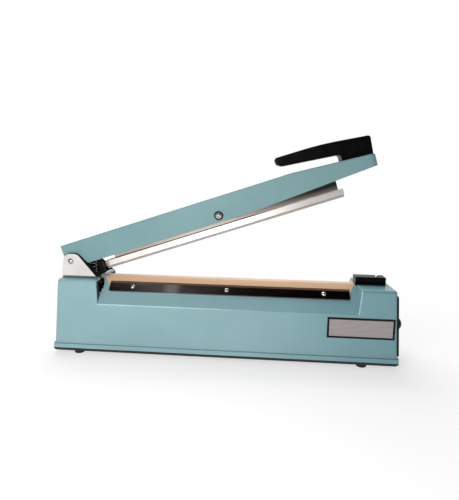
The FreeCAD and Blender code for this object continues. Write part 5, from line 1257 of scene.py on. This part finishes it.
@dataclass
class Studio:
    """Pale floor, soft light and the camera of the photograph."""

    camera_place: Triple = (0.038064, -0.523061, 0.2275)
    yaw_deg: float = -4.23
    pitch_deg: float = 9.73
    roll_deg: float = 1.06
    lens_mm: float = 28.8
    sensor_mm: float = 36.0
    clip_start: float = 0.01
    sky: Stops = ((0.0, "FFFFFF"), (0.45, "F2F3F4"), (1.0, "A9AFB4"))
    sky_strength: float = 0.24
    back_strength: float = 1.0
    back_reach: float = 0.45
    floor_reach: float = 6.0
    floor_fade: Span = (0.22, 0.55)
    floor_glow: float = 0.60
    lights: tuple[Softbox, ...] = (
        Softbox("key_softbox", (-0.13, -0.46, 0.28), (-0.08, 0.0, 0.06), 0.26, 1.75, "FFFAF4"),
        Softbox("fill_softbox", (1.4, -0.9, 0.7), (0.0, 0.0, 0.1), 1.2, 0.8, "F4F8FF"),
        Softbox("top_softbox", (-0.20, 0.45, 1.0), (0.0, 0.0, 0.15), 0.8, 7.0),
        Softbox("rim_softbox", (0.2, 1.3, 1.2), (0.0, 0.0, 0.15), 1.4, 6.0),
    )

    def make_camera(self) -> None:
        """Puts the camera where the photograph was taken from."""
        yaw, pitch, roll = (math.radians(a) for a in (self.yaw_deg, self.pitch_deg, self.roll_deg))
        up = Vector((0.0, 0.0, 1.0))
        ahead = Vector((math.sin(yaw), math.cos(yaw), 0.0))
        right = Vector((math.cos(yaw), -math.sin(yaw), 0.0))
        look = ahead * math.cos(pitch) - up * math.sin(pitch)
        above = up * math.cos(pitch) + ahead * math.sin(pitch)
        across = right * math.cos(roll) + above * math.sin(roll)
        upward = above * math.cos(roll) - right * math.sin(roll)
        lens = bpy.data.cameras.new("photo_camera")
        lens.lens = self.lens_mm
        lens.sensor_width = self.sensor_mm
        lens.clip_start = self.clip_start
        holder = bpy.data.objects.new("photo_camera", lens)
        bpy.context.scene.collection.objects.link(holder)
        turned = Matrix((across, upward, -look)).transposed().to_4x4()
        holder.matrix_world = Matrix.Translation(Vector(self.camera_place)) @ turned
        bpy.context.scene.camera = holder

    def make_sky(self) -> None:
        """White surroundings, brightest behind the object and dimmer towards the timer end."""
        world = bpy.data.worlds.new("white_studio")
        world.use_nodes = True
        tree = world.node_tree
        tree.nodes.clear()
        source = add_node(tree, "ShaderNodeTexCoord")
        split = add_node(tree, "ShaderNodeSeparateXYZ", {0: source.outputs["Generated"]})
        slide = add_node(tree, "ShaderNodeMapRange",
                         {"Value": split.outputs["X"], "From Min": -1.0, "From Max": 1.0})
        ramp = add_node(tree, "ShaderNodeValToRGB", {"Fac": slide.outputs["Result"]})
        behind = add_node(tree, "ShaderNodeMapRange",
                          {"Value": split.outputs["Y"], "From Min": 0.0,
                           "From Max": self.back_reach, "To Min": self.sky_strength,
                           "To Max": self.back_strength}, interpolation_type="SMOOTHSTEP")
        light = add_node(tree, "ShaderNodeBackground", {"Color": set_ramp(ramp, self.sky),
                                                        "Strength": behind.outputs["Result"]})
        seen = add_node(tree, "ShaderNodeBackground", {"Color": linear("FFFFFF")})
        path = add_node(tree, "ShaderNodeLightPath")
        mixed = add_node(tree, "ShaderNodeMixShader",
                         {0: path.outputs["Is Camera Ray"], 1: light.outputs["Background"],
                          2: seen.outputs["Background"]})
        add_node(tree, "ShaderNodeOutputWorld", {"Surface": mixed.outputs["Shader"]})
        bpy.context.scene.world = world

    def make_floor(self) -> None:
        """Pale floor that fades into the white surroundings away from the object."""
        plane = bmesh.new()
        bmesh.ops.create_grid(plane, x_segments=2, y_segments=2, size=self.floor_reach)
        mesh = bpy.data.meshes.new("studio_floor")
        plane.to_mesh(mesh)
        plane.free()
        floor = bpy.data.objects.new("studio_floor", mesh)
        bpy.context.scene.collection.objects.link(floor)
        # Seamless background paper: white, matt.
        paper = bpy.data.materials.new("White_paper_sweep")
        paper.use_nodes = True
        tree = paper.node_tree
        tree.nodes.clear()
        source = add_node(tree, "ShaderNodeTexCoord")
        away = add_node(tree, "ShaderNodeVectorMath", {0: source.outputs["Object"]},
                        operation="LENGTH")
        fade = add_node(tree, "ShaderNodeMapRange",
                        {"Value": away.outputs["Value"], "From Min": self.floor_fade[0],
                         "From Max": self.floor_fade[1], "To Min": self.floor_glow},
                        interpolation_type="SMOOTHSTEP")
        matt = add_node(tree, "ShaderNodeBsdfDiffuse", {"Color": linear("F6F6F6")})
        glow = add_node(tree, "ShaderNodeEmission", {"Color": linear("FFFFFF"), "Strength": 1.0})
        mixed = add_node(tree, "ShaderNodeMixShader",
                         {0: fade.outputs["Result"], 1: matt.outputs["BSDF"],
                          2: glow.outputs["Emission"]})
        add_node(tree, "ShaderNodeOutputMaterial", {"Surface": mixed.outputs["Shader"]})
        mesh.materials.append(paper)

    def make(self) -> None:
        """Sets up the studio."""
        self.make_camera()
        self.make_sky()
        self.make_floor()
        for light in self.lights:
            light.make()
        bpy.context.scene.view_settings.view_transform = "Standard"
        LOG.info("studio: camera, floor and %d lights", len(self.lights))


ASSEMBLIES: tuple[Callable[[], Assembly], ...] = (
    CastBase, FrontPlate, HingeEnd, SealingLine, RightTerminal, PressArm, PressureBar,
    InnerWorks, TimerEnd,
)


def main() -> None:
    """Builds the studio and every sub-assembly, in order, and reports a node left bare."""
    logging.basicConfig(level=logging.INFO, format="%(name)s %(message)s")
    Studio().make()
    bare = set(frame["nodes"])
    for kind in ASSEMBLIES:
        assembly = kind()
        assembly.dress()
        assembly.build()
        bare -= set(assembly.finishes)
    if bare:
        LOG.warning("not dressed: %s", ", ".join(sorted(bare)))


if __name__ == "__main__":
    main()
